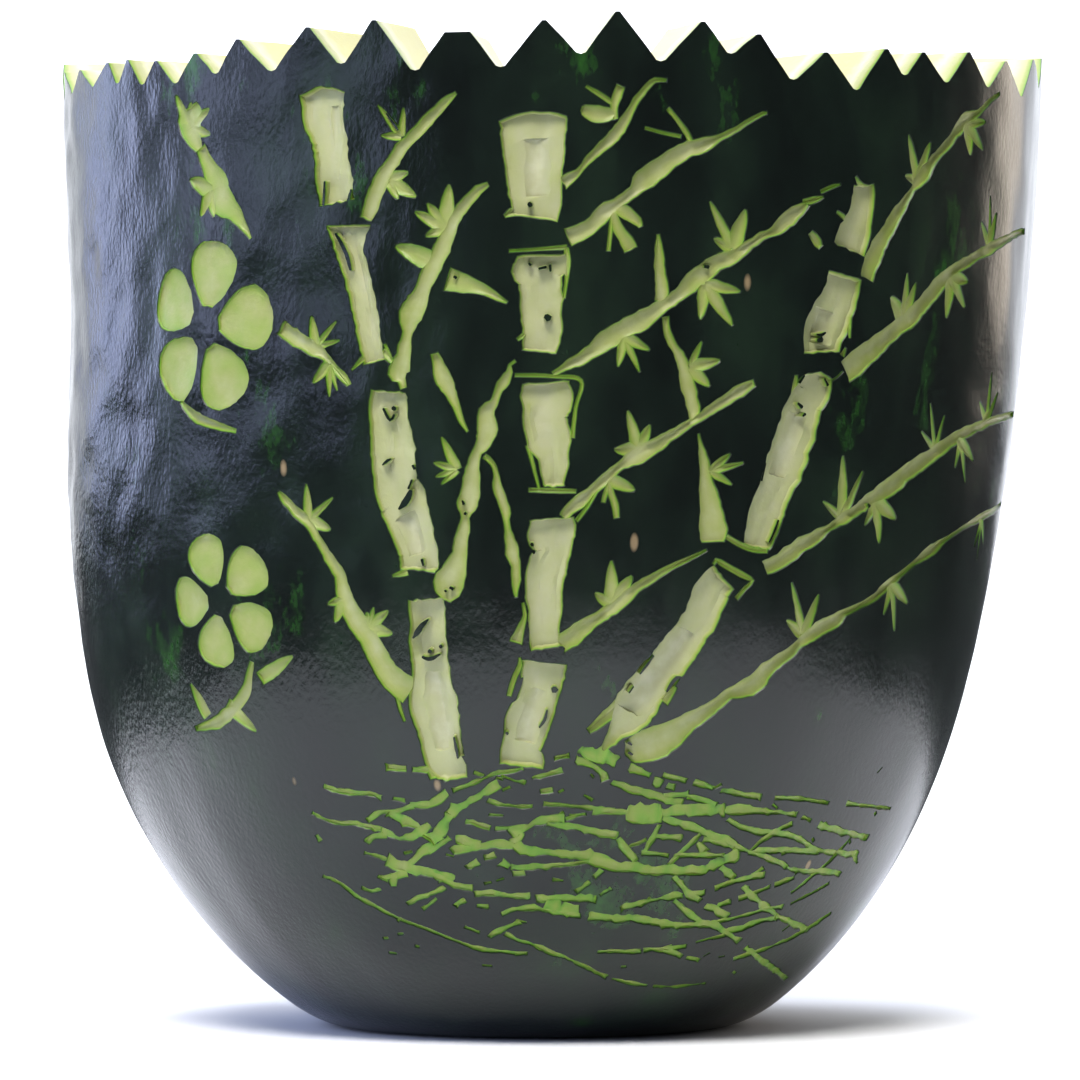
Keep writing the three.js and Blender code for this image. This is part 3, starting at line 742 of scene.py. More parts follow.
# %% Leaves
LEAF_DEPTH = 1.1
TUFTS = [
    ((-16.8, 209.3), [(-19.6, 216.5, 1.8), (-16.6, 215.8, 1.9), (-19.2, 209.6, 2)]),
    ((-18.2, 199.5), [(-15.9, 201.2, 3), (-14.9, 195.6, 3.4), (-17, 195.2, 2.6)]),
    ((-11.5, 188.5), [(-15, 192.2, 3), (-13.6, 194.1, 3), (-11.2, 198.3, 4), (-13.7, 186.7, 2.6)]),
    ((-13.2, 181.3), [(-17.2, 184.6, 4.6)]),
    ((-26.5, 162), [(-27.2, 169, 2.6), (-24.1, 167.7, 1.6), (-23.6, 163.4, 1.6)]),
    ((-24.9, 158.2), [(-26.8, 153.8, 2.5), (-24.7, 150.6, 1.8), (-23.7, 152, 1.4), (-22.4, 153, 1.4)]),
    ((-9, 133.9), [(-11, 141.3, 2.4), (-11.8, 135.5, 2), (-11.5, 132.3, 1.8), (-10.8, 130.6, 1.8)]),
    ((-27.3, 122.6), [(-27.5, 130.8, 2.4), (-24.1, 127.6, 1.8), (-24.4, 120.4, 3.2)]),
    ((-22.8, 104.5), [(-24.9, 103.3, 2.4), (-24, 99.2, 3)]),
    ((-19.8, 97.8), [(-19.8, 101.6, 2.2), (-18.9, 102.6, 1.8), (-17.1, 101.9, 3), (-16.6, 96.7, 3.4)]),
    ((9, 163.8), [(12, 161, 2.6), (11, 156, 1.8), (8.5, 157.2, 2.4)]),
    ((18, 176), [(17.7, 168, 3.2), (21.5, 166.7, 3.2), (22.2, 174.4, 3)]),
    ((21, 184), [(22.2, 193, 4), (18, 194.6, 2.4), (18.7, 186.3, 2.6)]),
    ((16.8, 157), [(18, 163, 1.8), (20.3, 158.8, 3.2), (19.3, 152.9, 3.2)]),
    ((11.5, 138.5), [(8.7, 138.4, 3.5), (9.9, 147.2, 2.8), (12.6, 144.1, 3)]),
    ((8.5, 131.5), [(11.4, 129.3, 3.2)]),
    ((20.2, 133.5), [(22.4, 137.6, 2.2), (24.1, 135.6, 1.8), (22.9, 130.6, 1.9)]),
    ((9.5, 103.4), [(9.2, 113.3, 3.4), (11.8, 109.8, 3.8), (7.5, 106, 2.8)]),
    ((34.9, 96), [(32.1, 99.6, 2.6), (32.1, 108.2, 2), (36.4, 105.5, 2.8)]),
    ((38.5, 123), [(35.3, 126.8, 2), (37.6, 137.3, 3.2), (41.1, 133.8, 2.2)]),
    ((44, 127), [(42.4, 121.4, 2.6), (45.5, 117.3, 3), (48, 123, 3.6)]),
    ((54, 139), [(51, 143.2, 1.4), (52.2, 149.7, 1.4), (55.2, 147, 1.4)]),
    ((59.2, 141.5), [(58.6, 135, 2), (61.5, 131.6, 1.6), (63, 136.7, 2.6)]),
    ((65.5, 145.5), [(63, 150.6, 2.2), (65.4, 157.5, 2), (68, 153, 2)]),
    ((46, 201), [(44.1, 211.4, 2.6), (47.9, 210, 3), (43.8, 202, 2.4)]),
    ((55, 215), [(56, 208, 4), (58.6, 209.5, 3), (58.8, 216, 2.6)]),
    ((45.5, 168.8), [(42.8, 174, 4), (45.2, 179.6, 2.6), (47, 177.5, 3.2)]),
    ((53.8, 179.5), [(53.6, 169.8, 4), (57.2, 172.5, 3), (57.3, 178.5, 3.4)]),
    ((61.7, 187), [(61, 198.8, 1.6), (59.2, 192.6, 2.4), (62.8, 195, 2.8)]),
    ((49.2, 107.8), [(48.5, 100.7, 2.2), (51.3, 96.8, 1.8), (53, 103.2, 2.8)]),
    ((68.2, 123.4), [(67, 116.4, 1.6), (69, 113.4, 1.2), (70.5, 117, 1.6)]),
    ((-45, 213), [(-47.3, 220.8, 3.4), (-44.6, 219, 3.4), (-41.6, 217.2, 3.4), (-41.3, 211.3, 3)]),
    ((-41.5, 198.5), [(-44.8, 201.2, 4), (-42.8, 192.6, 3.4), (-40.7, 192.3, 3)]),
]
# Leaves with a shape of their own, as runs.
ODD_LEAVES = [
    [(-11.1, 177, 5.4), (-9.3, 176, 4.4), (-7, 174.6, 2.6), (-5, 172.4, 1.4), (-4.2, 171.6, 0.6)],
    [(6.9, 214.3, 2), (5.6, 213.9, 3.8), (4.4, 214.2, 3.8), (3.4, 215, 2.4), (3.1, 215.2, 1)],
    [(6.8, 216.2, 1.1), (5.2, 218.3, 1.2), (3.6, 220.3, 0.7)],
    [(6.9, 212.8, 1.2), (6.7, 215.5, 1.8), (7, 218, 2.2), (7.4, 220.5, 2)],
    [(12.7, 215.5, 1), (13.7, 213.2, 1), (15, 209.8, 1.4), (15.4, 208, 1.4)],
    [(10.2, 211, 0.7), (12.2, 210, 0.8), (14.3, 209.2, 0.8)],
    [(7.4, 194, 2), (6.9, 189.3, 1.2), (6.7, 183.2, 1)],
    [(6.8, 192.4, 2), (7.2, 190.6, 2.2), (7.7, 188.3, 2.4), (8.7, 185.5, 3.2), (9.2, 183.5, 3)],
    [(7.2, 193.4, 2.6), (8.6, 191.8, 3), (9.8, 190, 2.2), (10.2, 188.7, 1)],
    [(8.3, 131.6, 1.6), (8.6, 129, 1.6), (9.2, 126, 1.8), (9.5, 123, 1.4)],
    [(8.4, 131, 1.2), (8, 128.6, 1.2), (7.8, 126.5, 1)],
    [(-43.3, 208, 2.6), (-44, 210.5, 5), (-44.6, 213.5, 8), (-44.9, 216, 9), (-45.2, 217.8, 7)],
    [(-43, 208.5, 3), (-42.4, 206, 3.8), (-41.6, 203.5, 4.6), (-40.6, 200.5, 7), (-40.2, 197.5, 8),
     (-39, 195, 6.6), (-37.7, 193, 4.2), (-36.4, 190, 2.2), (-35.2, 187, 0.6)],
]


def leaf(name, root, tip, width, depth=LEAF_DEPTH):
    stations = [(0, 0.95), (0.3, 1.0), (0.62, 0.78), (0.88, 0.45), (1, 0.16)]
    run = [(root[0] + (tip[0] - root[0]) * share, root[1] + (tip[1] - root[1]) * share, size * width)
           for share, size in stations]
    gouge(name, run, depth, across=4, step=1.0, ragged=0.22, flat=0.45, chatter=0.1)


for number, (root, tips) in enumerate(TUFTS):
    for tip_number, (angle, height, width) in enumerate(tips):
        leaf(f"leaf_{number}_{tip_number}", root, (angle, height), width)
for number, run in enumerate(ODD_LEAVES):
    gouge(f"odd_leaf_{number}", run, LEAF_DEPTH, across=4, step=1.0, ragged=0.25, flat=0.5, chatter=0.1)
print("leaves:", sum(len(tips) for root, tips in TUFTS) + len(ODD_LEAVES))

# %% [markdown]
# ## Blossoms
#
# At the left are two five-petalled blossoms on short leafy stems, a common companion to bamboo. A
# petal is one stroke that swells to a broad round end, and a ring of uncut rind is left round the eye.

# %% Blossoms
BLOSSOMS = [(-42, 167, 20, 10), (-40, 104, 16, -20)]
PETALS = 5
EYE_SHARE = 0.24
STEMS = [
    [(-46, 150, 1), (-43, 146, 2.6), (-37, 143, 1)],
    [(-36, 90, 1.2), (-38, 82, 3), (-43, 76, 3.2), (-48, 74, 1.2)],
]
STEM_LEAVES = [(-35, 86, 60, 11), (-45, 77, -30, 9), (-41, 80, 130, 10)]

# The outline of a petal: how far out it is and how wide it is there, as shares of the blossom's radius.
PETAL_OUTLINE = [(EYE_SHARE, 0.16), (0.42, 0.5), (0.64, 0.72), (0.84, 0.7), (0.97, 0.4), (1, 0.15)]

for number, (angle, height, radius, turn) in enumerate(BLOSSOMS):
    for petal in range(PETALS):
        direction = turn + 360 / PETALS * petal
        run = [(*step_over(angle, height, direction, share * radius), size * radius)
               for share, size in PETAL_OUTLINE]
        gouge(f"petal_{number}_{petal}", run, LEAF_DEPTH, across=6, ragged=0.25, flat=0.6)
for number, run in enumerate(STEMS):
    gouge(f"blossom_stem_{number}", run, BRANCH_DEPTH, flat=0.6)
for number, (angle, height, direction, length) in enumerate(STEM_LEAVES):
    leaf(f"blossom_leaf_{number}", (angle, height), step_over(angle, height, direction, length), 3.6)

# %% [markdown]
# ## The grass
#
# Round the foot of the bamboo the cook has only scratched at the rind. A point dragged over it skips
# and tears, so a scratch is a broken, shallow, vivid green line. The scratches run to the right and
# left like grass in the wind, and some cross. Each is given by its mean width and its line, and its
# width wavers along it. Short random nicks are scattered over the same patch.

# %% Scratches
GRASS_DEPTH = 0.6
GRASS = [
    (1.8, [(-28, 61.2), (-25.5, 60.2), (-21.5, 59.6), (-19.8, 59)]),
    (1.8, [(-18.2, 58.7), (-16.5, 58.2)]), (3.2, [(-16, 57.2), (-13, 57.6), (-10.5, 60.2)]),
    (1.8, [(-30.7, 55), (-28, 53), (-24, 52.5), (-20.8, 51.4)]),
    (2.6, [(-20.8, 51.2), (-18.2, 49.4), (-15.5, 50.5), (-13.5, 52.5)]),
    (2, [(-22.5, 53.4), (-20.5, 55.3), (-18, 55.6), (-15.5, 57)]),
    (3.2, [(-19.5, 55.2), (-17.5, 54), (-15, 52)]), (1.6, [(-23.3, 48.2), (-22, 49.7), (-20, 50)]),
    (1.6, [(-30.9, 49.8), (-30.5, 48.4)]), (1.6, [(-24, 45.8), (-22.4, 45.3), (-20.8, 44.2)]),
    (3.2, [(-20.8, 44.2), (-19, 42.6), (-16.5, 41.8), (-13, 41.2), (-11, 40)]),
    (3, [(-22.3, 40), (-20.5, 40.2), (-18, 41.2)]), (1.8, [(-20.2, 41), (-20.7, 39), (-20.8, 37.8)]),
    (2.6, [(-17.3, 43.3), (-15.8, 45.3), (-14, 47.5), (-12, 50)]),
    (3.6, [(-14, 48.7), (-12.3, 51), (-10.6, 54.8)]), (2, [(-14.3, 46.2), (-12.4, 47.8), (-10.8, 49.6)]),
    (1.8, [(-18.6, 66.2), (-15.9, 65.7)]), (1.8, [(-15, 65.6), (-13.2, 65.2), (-12.4, 65.8)]),
    (1.6, [(-12.7, 66), (-12.3, 63.6)]),
    (1.4, [(-32, 40), (-29.5, 38.5), (-27.5, 35.5), (-25, 33.3), (-21, 30), (-16.5, 27.5),
      (-12, 24.8), (-8, 23), (-0.5, 22)]),
    (1.3, [(-26, 37.5), (-24.5, 36.6), (-22.8, 37.2)]),
    (1.8, [(-19.2, 33.8), (-17, 35.3), (-14.6, 36.4), (-12.6, 38)]),
    (1.2, [(-16.8, 32.6), (-15.6, 33.6), (-14, 35.3)]),
    (3, [(-10.6, 54.8), (-9, 57), (-7.3, 58.6), (-5.4, 60.4), (-3.5, 62.2)]),
    (1.4, [(-9.8, 60.7), (-7, 62.4), (-5.3, 63.8), (-4, 64.8), (-2, 65.2), (-0.4, 65.9)]),
    (1.1, [(-6.8, 65), (-5.5, 64.2)]), (1.2, [(-3.3, 64.2), (-1.6, 63), (-0.2, 62.6)]),
    (1, [(-3.2, 60.8), (-2.2, 61.6)]), (1.4, [(0.7, 63.6), (4.7, 65.4)]),
    (1.3, [(1.8, 60.5), (3.4, 60.9)]), (1.6, [(3.5, 68.1), (5.4, 68.8)]),
    (2.4, [(6.3, 68), (8, 66.9), (9.6, 65.2), (10.3, 63)]),
    (2.2, [(11.2, 62.7), (12.7, 61.8), (15, 60.4), (18, 59), (21.3, 57.3)]),
    (3, [(6.6, 70), (8.5, 68.6), (10, 68.6), (11.8, 67.3)]), (1.4, [(-5.2, 58.5), (-3, 57.4), (0.8, 57)]),
    (1.5, [(2.2, 57.6), (5, 57.3), (8, 56.8), (12, 56)]), (1, [(-5.1, 55.2), (-3.1, 55)]),
    (2, [(-8.4, 53.5), (-6.8, 52.8), (-5.1, 52)]), (2, [(-4.4, 51.9), (-2, 52), (0, 52.4)]),
    (3, [(-2.2, 50.4), (-0.2, 52), (1.5, 53.6), (3.4, 54.2), (5.2, 54)]),
    (1.2, [(5.2, 54), (6.7, 54.8), (8, 55.2)]),
    (2, [(2.7, 53), (5.5, 52.4), (8.1, 51.6), (10.2, 50.8), (12.6, 50)]),
    (3.2, [(-10, 49.5), (-8.3, 48.5), (-6.4, 48.1)]),
    (3.2, [(-10.7, 46.2), (-8.5, 47.3), (-4, 48.3), (-2.3, 48.1), (0, 46.7), (4.3, 46), (8.7, 45.6),
      (12, 43.8)]),
    (2.2, [(-2.3, 48.4), (-1, 49.6), (-0.6, 51)]), (2.4, [(-8.8, 42.6), (-7, 44.2)]),
    (2, [(-6.2, 45.1), (-4.6, 45.9)]), (2.8, [(-3.6, 44.2), (-2.4, 42.8)]),
    (2, [(-2.4, 42.7), (2, 42.9), (4.2, 43.3), (9, 43.8)]), (1.6, [(-2.2, 41.3), (-0.4, 41.5)]),
    (2.6, [(-15, 41.3), (-13.3, 40.3), (-11, 38.5), (-8.3, 37.8)]),
    (2.4, [(-8.1, 36.4), (-5.4, 36.6), (-2.5, 36), (0.4, 36)]),
    (2.8, [(1.2, 35.3), (4.3, 35.5), (7.2, 35.3), (10.5, 35.1)]), (5, [(2.6, 34), (5, 33), (8, 32.6)]),
    (2, [(11, 36), (12.5, 37.8)]), (1.4, [(7.3, 36.8), (9.2, 39.2)]), (2.4, [(9.8, 40.3), (11, 42)]),
    (1.8, [(-11.4, 33.4), (-9.8, 35)]), (2, [(-8, 33.5), (-6.2, 33.4)]),
    (2, [(-4.3, 31.6), (-2.3, 32.9), (0.1, 33), (2.8, 32.4), (5.8, 31.6), (8.2, 31.2)]),
    (1.2, [(-10.5, 28.5), (-8.2, 27.2)]), (1.8, [(-6.6, 26), (-5.1, 27.4), (-2.5, 29.1), (-1.4, 29.9)]),
    (1.5, [(-4, 26.8), (0, 24.4), (5, 21.7), (10, 18.6), (14.4, 16)]),
    (1.4, [(15.5, 15.6), (19, 14.6), (23.4, 13.7)]), (1.4, [(24.6, 13.4), (31, 13.2), (36.6, 13.6)]),
    (2.2, [(8.9, 56), (12, 55.8), (14, 55.4)]), (6, [(13.5, 55), (16, 55), (18.5, 55.2)]),
    (3.6, [(18.5, 55.4), (22, 55.9), (27.8, 55.8)]),
    (2.4, [(27.8, 55.8), (31, 55.6), (35, 55.1), (40.3, 54.1)]), (1.4, [(41.5, 53.5), (43.5, 52.6)]),
    (2.2, [(45.5, 51.5), (50.7, 49.7), (59, 47.6)]),
    (2.4, [(18.8, 54.2), (21, 53.1), (24.8, 51), (28.9, 48.5), (32.8, 46.1), (38.3, 43.6), (42, 41.6)]),
    (2, [(42, 41.6), (46, 40.4), (51, 40), (56, 39)]), (2, [(18.5, 59.2), (22, 59.7)]),
    (2, [(21.8, 58.9), (24, 58.3), (26.5, 57)]), (2, [(18, 64.3), (21.4, 62.7)]),
    (1.6, [(22.4, 62.4), (25.5, 60.7)]), (2.2, [(26.6, 60.5), (30, 59.4), (33, 58.7)]),
    (2.2, [(13.4, 66.2), (16.3, 63.9)]), (2.4, [(16.8, 63), (18, 62.3)]),
    (2.2, [(18.7, 61.7), (19.9, 61.3)]), (1.6, [(35.4, 58.3), (40, 57.9), (46, 56.6)]),
    (1.4, [(50, 56.3), (52.8, 55.8), (62, 54.4)]),
    (2.2, [(28.5, 53.6), (31, 51.7), (34, 50.5), (39, 49.7), (42.5, 48.2), (48, 45.2), (58.5, 43.6)]),
    (2, [(33.5, 45.8), (35.5, 48.5), (38.5, 51.2), (40, 52.2)]),
    (2, [(33.5, 45.5), (37, 45.8), (42, 45.6), (48, 45)]),
    (3.2, [(9, 44.8), (12.9, 43), (17.6, 42), (22.4, 41.7), (26.3, 41.6), (28.5, 43), (32, 45.4)]),
    (2.4, [(12.8, 49.5), (14, 47), (15.8, 44)]), (1.6, [(14.5, 47.5), (16.8, 49)]),
    (2, [(16.6, 45.8), (17.6, 49), (18.4, 52.5)]), (2, [(16.4, 46), (18.5, 45.8), (20.6, 45.2)]),
    (1.8, [(18.2, 49.9), (20, 49.6), (22.2, 49.3)]), (1.8, [(20.9, 43), (22.2, 45.6), (24.8, 50.2)]),
    (1.8, [(21.3, 45.2), (25, 45.3), (29.5, 44.9)]), (2, [(24.6, 48.2), (26.3, 45.8)]),
    (1.8, [(25.4, 48.9), (28.5, 47.8), (31, 46.7)]),
    (2.2, [(22, 40.2), (23.7, 38), (25.3, 36), (27.6, 34.3)]), (2.2, [(28.8, 33), (31, 32), (34, 30)]),
    (1.8, [(25.5, 36), (28, 36.4)]), (2.2, [(14.5, 32.7), (17.5, 34), (20, 34.8), (24.4, 35.8)]),
    (2.2, [(23, 34.4), (26.7, 31), (29.5, 29), (33, 27.4), (36.2, 25.4), (38.8, 23.8)]),
    (2, [(41, 22.2), (45.5, 19.8), (50, 17.7), (57, 15), (63, 13)]),
    (2.4, [(9.5, 31), (14, 30.4), (18, 30.2), (23, 28.7), (26.3, 28.4), (31, 28.2)]),
    (1.8, [(31, 28.8), (34.4, 29.5), (38, 30.6), (41.5, 31.6), (45, 32)]),
    (2.4, [(34.6, 26.6), (38, 27.4), (41, 28.6), (45, 29.4)]),
    (2.2, [(29.4, 42.2), (31.5, 40.3), (32.4, 39.4)]),
    (2.2, [(34.5, 37.3), (38.8, 33.7), (44, 30.2), (50, 27.6), (56, 25.4)]),
    (2, [(29.5, 37.2), (32.3, 38.6), (35.4, 39.6), (37.8, 40)]), (1.2, [(35.4, 40), (37.2, 41.7)]),
    (1.6, [(31, 33), (33.2, 33.8)]), (1.6, [(34.6, 34.4), (37.3, 35.6), (40, 37)]),
    (2, [(40.8, 37.5), (44.5, 39)]), (1.8, [(11.8, 22.4), (16.5, 22.3), (19.6, 22.2)]),
    (1.8, [(20, 22.5), (22.5, 22.6), (25.5, 21.8), (28, 20.8)]), (1.6, [(29, 20.4), (32, 19.6)]),
    (1.6, [(23, 22.4), (28, 23.3)]), (1.2, [(29.6, 24), (32, 25), (35, 25.6)]),
    (1.8, [(39.8, 19.5), (43, 20.5), (48, 22.2), (53, 24.3), (60, 29.5)]),
    (1.6, [(46.5, 32.6), (50, 34.6), (54, 37)]),
    (1.2, [(45.3, 35.3), (49, 39.5), (52, 43.5), (54.5, 48.5)]), (1.2, [(56.5, 44), (59.5, 41.5)]),
]
SPOTS = 40
SPOT_ANGLES = (-28, 58)
SPOT_HEIGHTS = (16, 66)

for number, (width, line) in enumerate(GRASS):
    run = [(angle, height, width * rng.uniform(0.5, 0.95)) for angle, height in line]
    gouge(f"grass_{number}", run, GRASS_DEPTH, across=2, step=1.0, ragged=0.85, flat=0.8, chatter=0.16,
          skips=0.35)
for number in range(SPOTS):
    angle, height = rng.uniform(*SPOT_ANGLES), rng.uniform(*SPOT_HEIGHTS)
    end = step_over(angle, height, rng.uniform(40, 140), rng.uniform(0.8, 2.6))
    gouge(f"spot_{number}", [(angle, height, 0.7), (*end, 0.6)], GRASS_DEPTH, across=2, step=0.8,
          ragged=0.4, skips=0.3)
print("scratches:", len(GRASS) + SPOTS)

# %% [markdown]
# ## Flecks of rind
#
# Where the blade jumped, a fleck or a sliver of rind is left standing in a paler floor. Each one is a
# small block with its top in the skin and its foot in the flesh. They are put back after the carving.

# %% Flecks
FLECKS = [
    [(-25.9, 199.5, 0.4), (-26, 196.5, 0.6), (-26.1, 193.2, 0.4)], [(-22.6, 197.5, 0.4), (-22.9, 195, 0.8)],
    [(-24.4, 187.6, 0.5), (-23.6, 185, 0.8), (-22.9, 182, 0.9), (-22.5, 179.3, 0.5)],
    [(-18, 147.8, 0.5), (-17.2, 145.2, 0.7), (-16.7, 146.4, 0.5)], [(-16.9, 148, 0.9), (-16.6, 147.6, 0.9)],
    [(-17.9, 135, 0.3), (-17.3, 136, 0.7), (-16.9, 136.4, 0.4)],
    [(-15.8, 125, 0.5), (-15.2, 126.2, 1.4), (-14.7, 127.6, 1.6), (-14.4, 129.2, 0.8)],
    [(-14.7, 129.6, 0.5), (-14.3, 131.6, 0.5)], [(-14.3, 134.9, 0.5), (-14, 134.1, 0.7)],
    [(-12.9, 113.6, 0.7), (-12.7, 112.2, 0.5)],
    [(-14, 95.7, 0.5), (-13.4, 97.2, 1.3), (-12.8, 98.7, 1.2), (-12.1, 99.9, 0.4)],
    [(-12.9, 91.4, 0.6), (-12.2, 90.9, 0.9), (-11.5, 91.2, 0.9), (-10.7, 92, 0.4)],
    [(-12.1, 92.8, 0.9), (-11.8, 92.5, 0.8)], [(-10.7, 94, 0.8), (-10.5, 93.6, 0.8)],
    [(-9.2, 73, 0.4), (-9, 70.6, 0.7), (-8.8, 68.2, 0.4)], [(-2.3, 193.9, 1), (-2, 193.4, 1)],
    [(-0.9, 179.2, 0.5), (-0.1, 179.6, 0.6)], [(0.3, 180.1, 0.6), (0.4, 178.6, 0.5)],
    [(-2, 180.4, 0.6), (-1.8, 180, 0.6)], [(0.1, 168.6, 1.2), (0.5, 167.8, 1.5)],
    [(-0.2, 117.2, 0.7), (0, 116.7, 0.6)], [(0, 115.4, 0.6), (0.2, 115, 0.6)],
    [(3.7, 93.5, 1.2), (4, 92.9, 1.4)], [(-0.3, 99.5, 0.4), (-0.2, 97, 0.6), (-0.1, 94.6, 0.4)],
    [(-0.7, 86.7, 0.4), (-1.1, 84.6, 0.9), (-1.6, 82, 0.5)], [(3.1, 84.4, 1.2), (3.3, 83.6, 1.5)],
    [(2.4, 79.3, 0.4), (2.1, 77, 0.7), (1.5, 75.3, 0.4)], [(-2.6, 74.2, 0.6), (-2.4, 73.8, 0.6)],
    [(32.1, 165, 0.3), (32.7, 164.8, 0.8), (33.3, 165.4, 0.4)], [(32.3, 163.6, 0.9), (32.9, 163.8, 1.3)],
    [(30.4, 149.2, 0.5), (31, 148.3, 0.8)], [(31.2, 146.3, 0.5), (31.5, 146.8, 0.7)],
    [(26.9, 135.5, 0.3), (26.6, 131.5, 0.4)], [(29.3, 122.5, 0.4), (28.9, 120, 0.5), (28.4, 117.5, 0.3)],
    [(30.9, 155.5, 0.4), (30.3, 153.9, 0.7)], [(33.7, 154.9, 0.4), (34.3, 153.4, 0.6)],
    [(15.2, 91.6, 0.4), (14.5, 89.6, 0.6), (13.7, 87.5, 0.4)], [(13, 84.6, 0.3), (12.5, 83.2, 0.4)],
    [(17.3, 83.4, 0.4), (17.8, 85.2, 0.8), (18.4, 86.5, 0.8), (19, 86.6, 0.4)],
    [(12.9, 71.8, 0.7), (13.4, 71.2, 0.5)], [(13.1, 69.5, 0.7), (13.6, 68.9, 0.4)],
    [(17.8, 180, 0.7), (18.3, 179.9, 0.8)], [(-10.1, 106.5, 0.5), (-9.9, 106.3, 0.5)],
    [(-9.5, 107.2, 0.6), (-9.1, 106.9, 0.8)], [(-8.3, 126.9, 0.4), (-8.1, 126.1, 0.6)],
    [(-8, 124.1, 0.7), (-7.8, 123.9, 0.6)], [(42.6, 126.3, 0.5), (42.9, 125.7, 0.9)],
    [(-10.3, 177.5, 0.6), (-10, 177.2, 0.6)], [(-18.6, 214.6, 0.3), (-17.8, 212.4, 0.5), (-17.2, 210.8, 0.3)],
]
FLECK_TOP = -0.02
FLECK_FOOT = -4.2
FLECK_LEAN = 0.35

flecks = bpy.data.collections.new("flecks")
bpy.context.scene.collection.children.link(flecks)


def fleck(name, run):
    frames = frames_along(smooth_run(run, 0.7))
    bm = bmesh.new()
    bmesh.ops.create_grid(bm, x_segments=2, y_segments=len(frames) - 1, size=1.0)
    top = bm.verts[:]
    raised = bmesh.ops.extrude_face_region(bm, geom=bm.faces[:])["geom"]
    foot = [item for item in raised if isinstance(item, bmesh.types.BMVert)]
    for verts, lift, spread in ((top, FLECK_TOP, 0.0), (foot, FLECK_FOOT, FLECK_LEAN)):
        for vert in verts:
            side, row = vert.co.x, round((vert.co.y + 1) / 2 * (len(frames) - 1))
            middle, width, sideways, forward = frames[row]
            torn = 1 + 0.3 * wave(row * 1.7, side * 5, width * 40)
            at = middle + sideways * (side * (width / 2 * torn + spread))
            if row in (0, len(frames) - 1):
                at = at + forward * (spread + width / 4) * (-1 if row == 0 else 1) * (1 - side * side)
            vert.co = skin_point(at.x, at.y, lift)
    piece = finish_object(bm, name)
    bpy.context.scene.collection.objects.unlink(piece)
    flecks.objects.link(piece)


for number, run in enumerate(FLECKS):
    fleck(f"fleck_{number}", run)

# %% [markdown]
# ## Subtracting the cutters
#
# A Boolean modifier takes a whole collection of cutters off the body at once, and another puts the
# flecks back. The Manifold solver is used, because every cutter is a closed solid and there are hundreds
# of them: it does in seconds what the exact solver does in minutes. The result is stored as a plain
# mesh and the cutters are thrown away.

# %% Carve
def carve(target, cutter=None, collection=None, operation="DIFFERENCE"):
    modifier = target.modifiers.new("carve", "BOOLEAN")
    modifier.operation = operation
    modifier.solver = "MANIFOLD"
    if collection:
        modifier.operand_type = "COLLECTION"
        modifier.collection = collection
    else:
        modifier.object = cutter
    depsgraph = bpy.context.evaluated_depsgraph_get()
    carved = bpy.data.meshes.new_from_object(target.evaluated_get(depsgraph))
    target.modifiers.clear()
    target.data = carved


carve(body, cutter=scoop)
carve(body, cutter=crown)
carve(body, collection=cutters)
carve(body, collection=flecks, operation="UNION")
for piece in [scoop, crown, *cutters.objects, *flecks.objects]:
    bpy.data.objects.remove(piece)
bpy.data.collections.remove(cutters)
bpy.data.collections.remove(flecks)
body.name = "carved_melon"
print("carved melon:", len(body.data.polygons), "faces,",
      sum(len(face.vertices) - 2 for face in body.data.polygons), "triangles")

# %% [markdown]
# ## Crumbs
#
# Where two strokes all but meet, the cuts can leave a crumb of skin that hangs on nothing. The melon is
# one solid, so every island of faces but the largest is taken off.

# %% Drop the crumbs
def face_islands(bm):
    unseen = set(bm.faces)
    found = []
    while unseen:
        waiting = [unseen.pop()]
        island = list(waiting)
        while waiting:
            face = waiting.pop()
            near = {other for edge in face.edges for other in edge.link_faces} & unseen
            unseen -= near
            island.extend(near)
            waiting.extend(near)
        found.append(island)
    return sorted(found, key=len)


def drop_crumbs(mesh):
    bm = bmesh.new()
    bm.from_mesh(mesh)
    crumbs = [face for island in face_islands(bm)[:-1] for face in island]
    bmesh.ops.delete(bm, geom=crumbs, context="FACES")
    bm.to_mesh(mesh)
    bm.free()
    return len(crumbs)


print("faces in crumbs taken off:", drop_crumbs(body.data))

# %% [markdown]
# ## How deep is every point?
#
# Each point of the mesh is compared with the formula of the skin, and the distance is stored on it as
# an attribute named depth, in millimetres. The flesh material reads it. Faces at depth zero are rind
# and all others are flesh. Edges that a blade made stay sharp, and the rest is shaded smooth.

# %% Depth, materials slots and sharp edges
RIND_DEPTH = 0.045
KNIFE_EDGE = math.radians(32)


def depth_under_skin(point):
    x, y, height = point / MM
    if height < FOOT_ROUND + 0.5:
        return 0.0
    x -= lean(height)
    angle = math.degrees(math.atan2(x, -y))
    gap = turned_radius(height) + lumps(angle, height) - math.hypot(x, y)
    return max(0.0, gap / math.hypot(1, slope(height)))


def store_depth(mesh):
    depth = mesh.attributes.new("depth", "FLOAT", "POINT")
    for vert in mesh.vertices:
        depth.data[vert.index].value = depth_under_skin(vert.co)
    return [item.value for item in depth.data]


def sort_faces(mesh, depths):
    flesh = 0
    for face in mesh.polygons:
        mean = sum(depths[i] for i in face.vertices) / len(face.vertices)
        face.material_index = int(mean > RIND_DEPTH)
        flesh += face.material_index
    bm = bmesh.new()
    bm.from_mesh(mesh)
    for face in bm.faces:
        face.smooth = True
    for edge in bm.edges:
        one_finish = len({face.material_index for face in edge.link_faces}) == 1
        edge.smooth = one_finish and edge.calc_face_angle(0) < KNIFE_EDGE
    bm.to_mesh(mesh)
    bm.free()
    return flesh


depths = store_depth(body.data)
print("deepest point:", round(max(depths), 1), "mm")

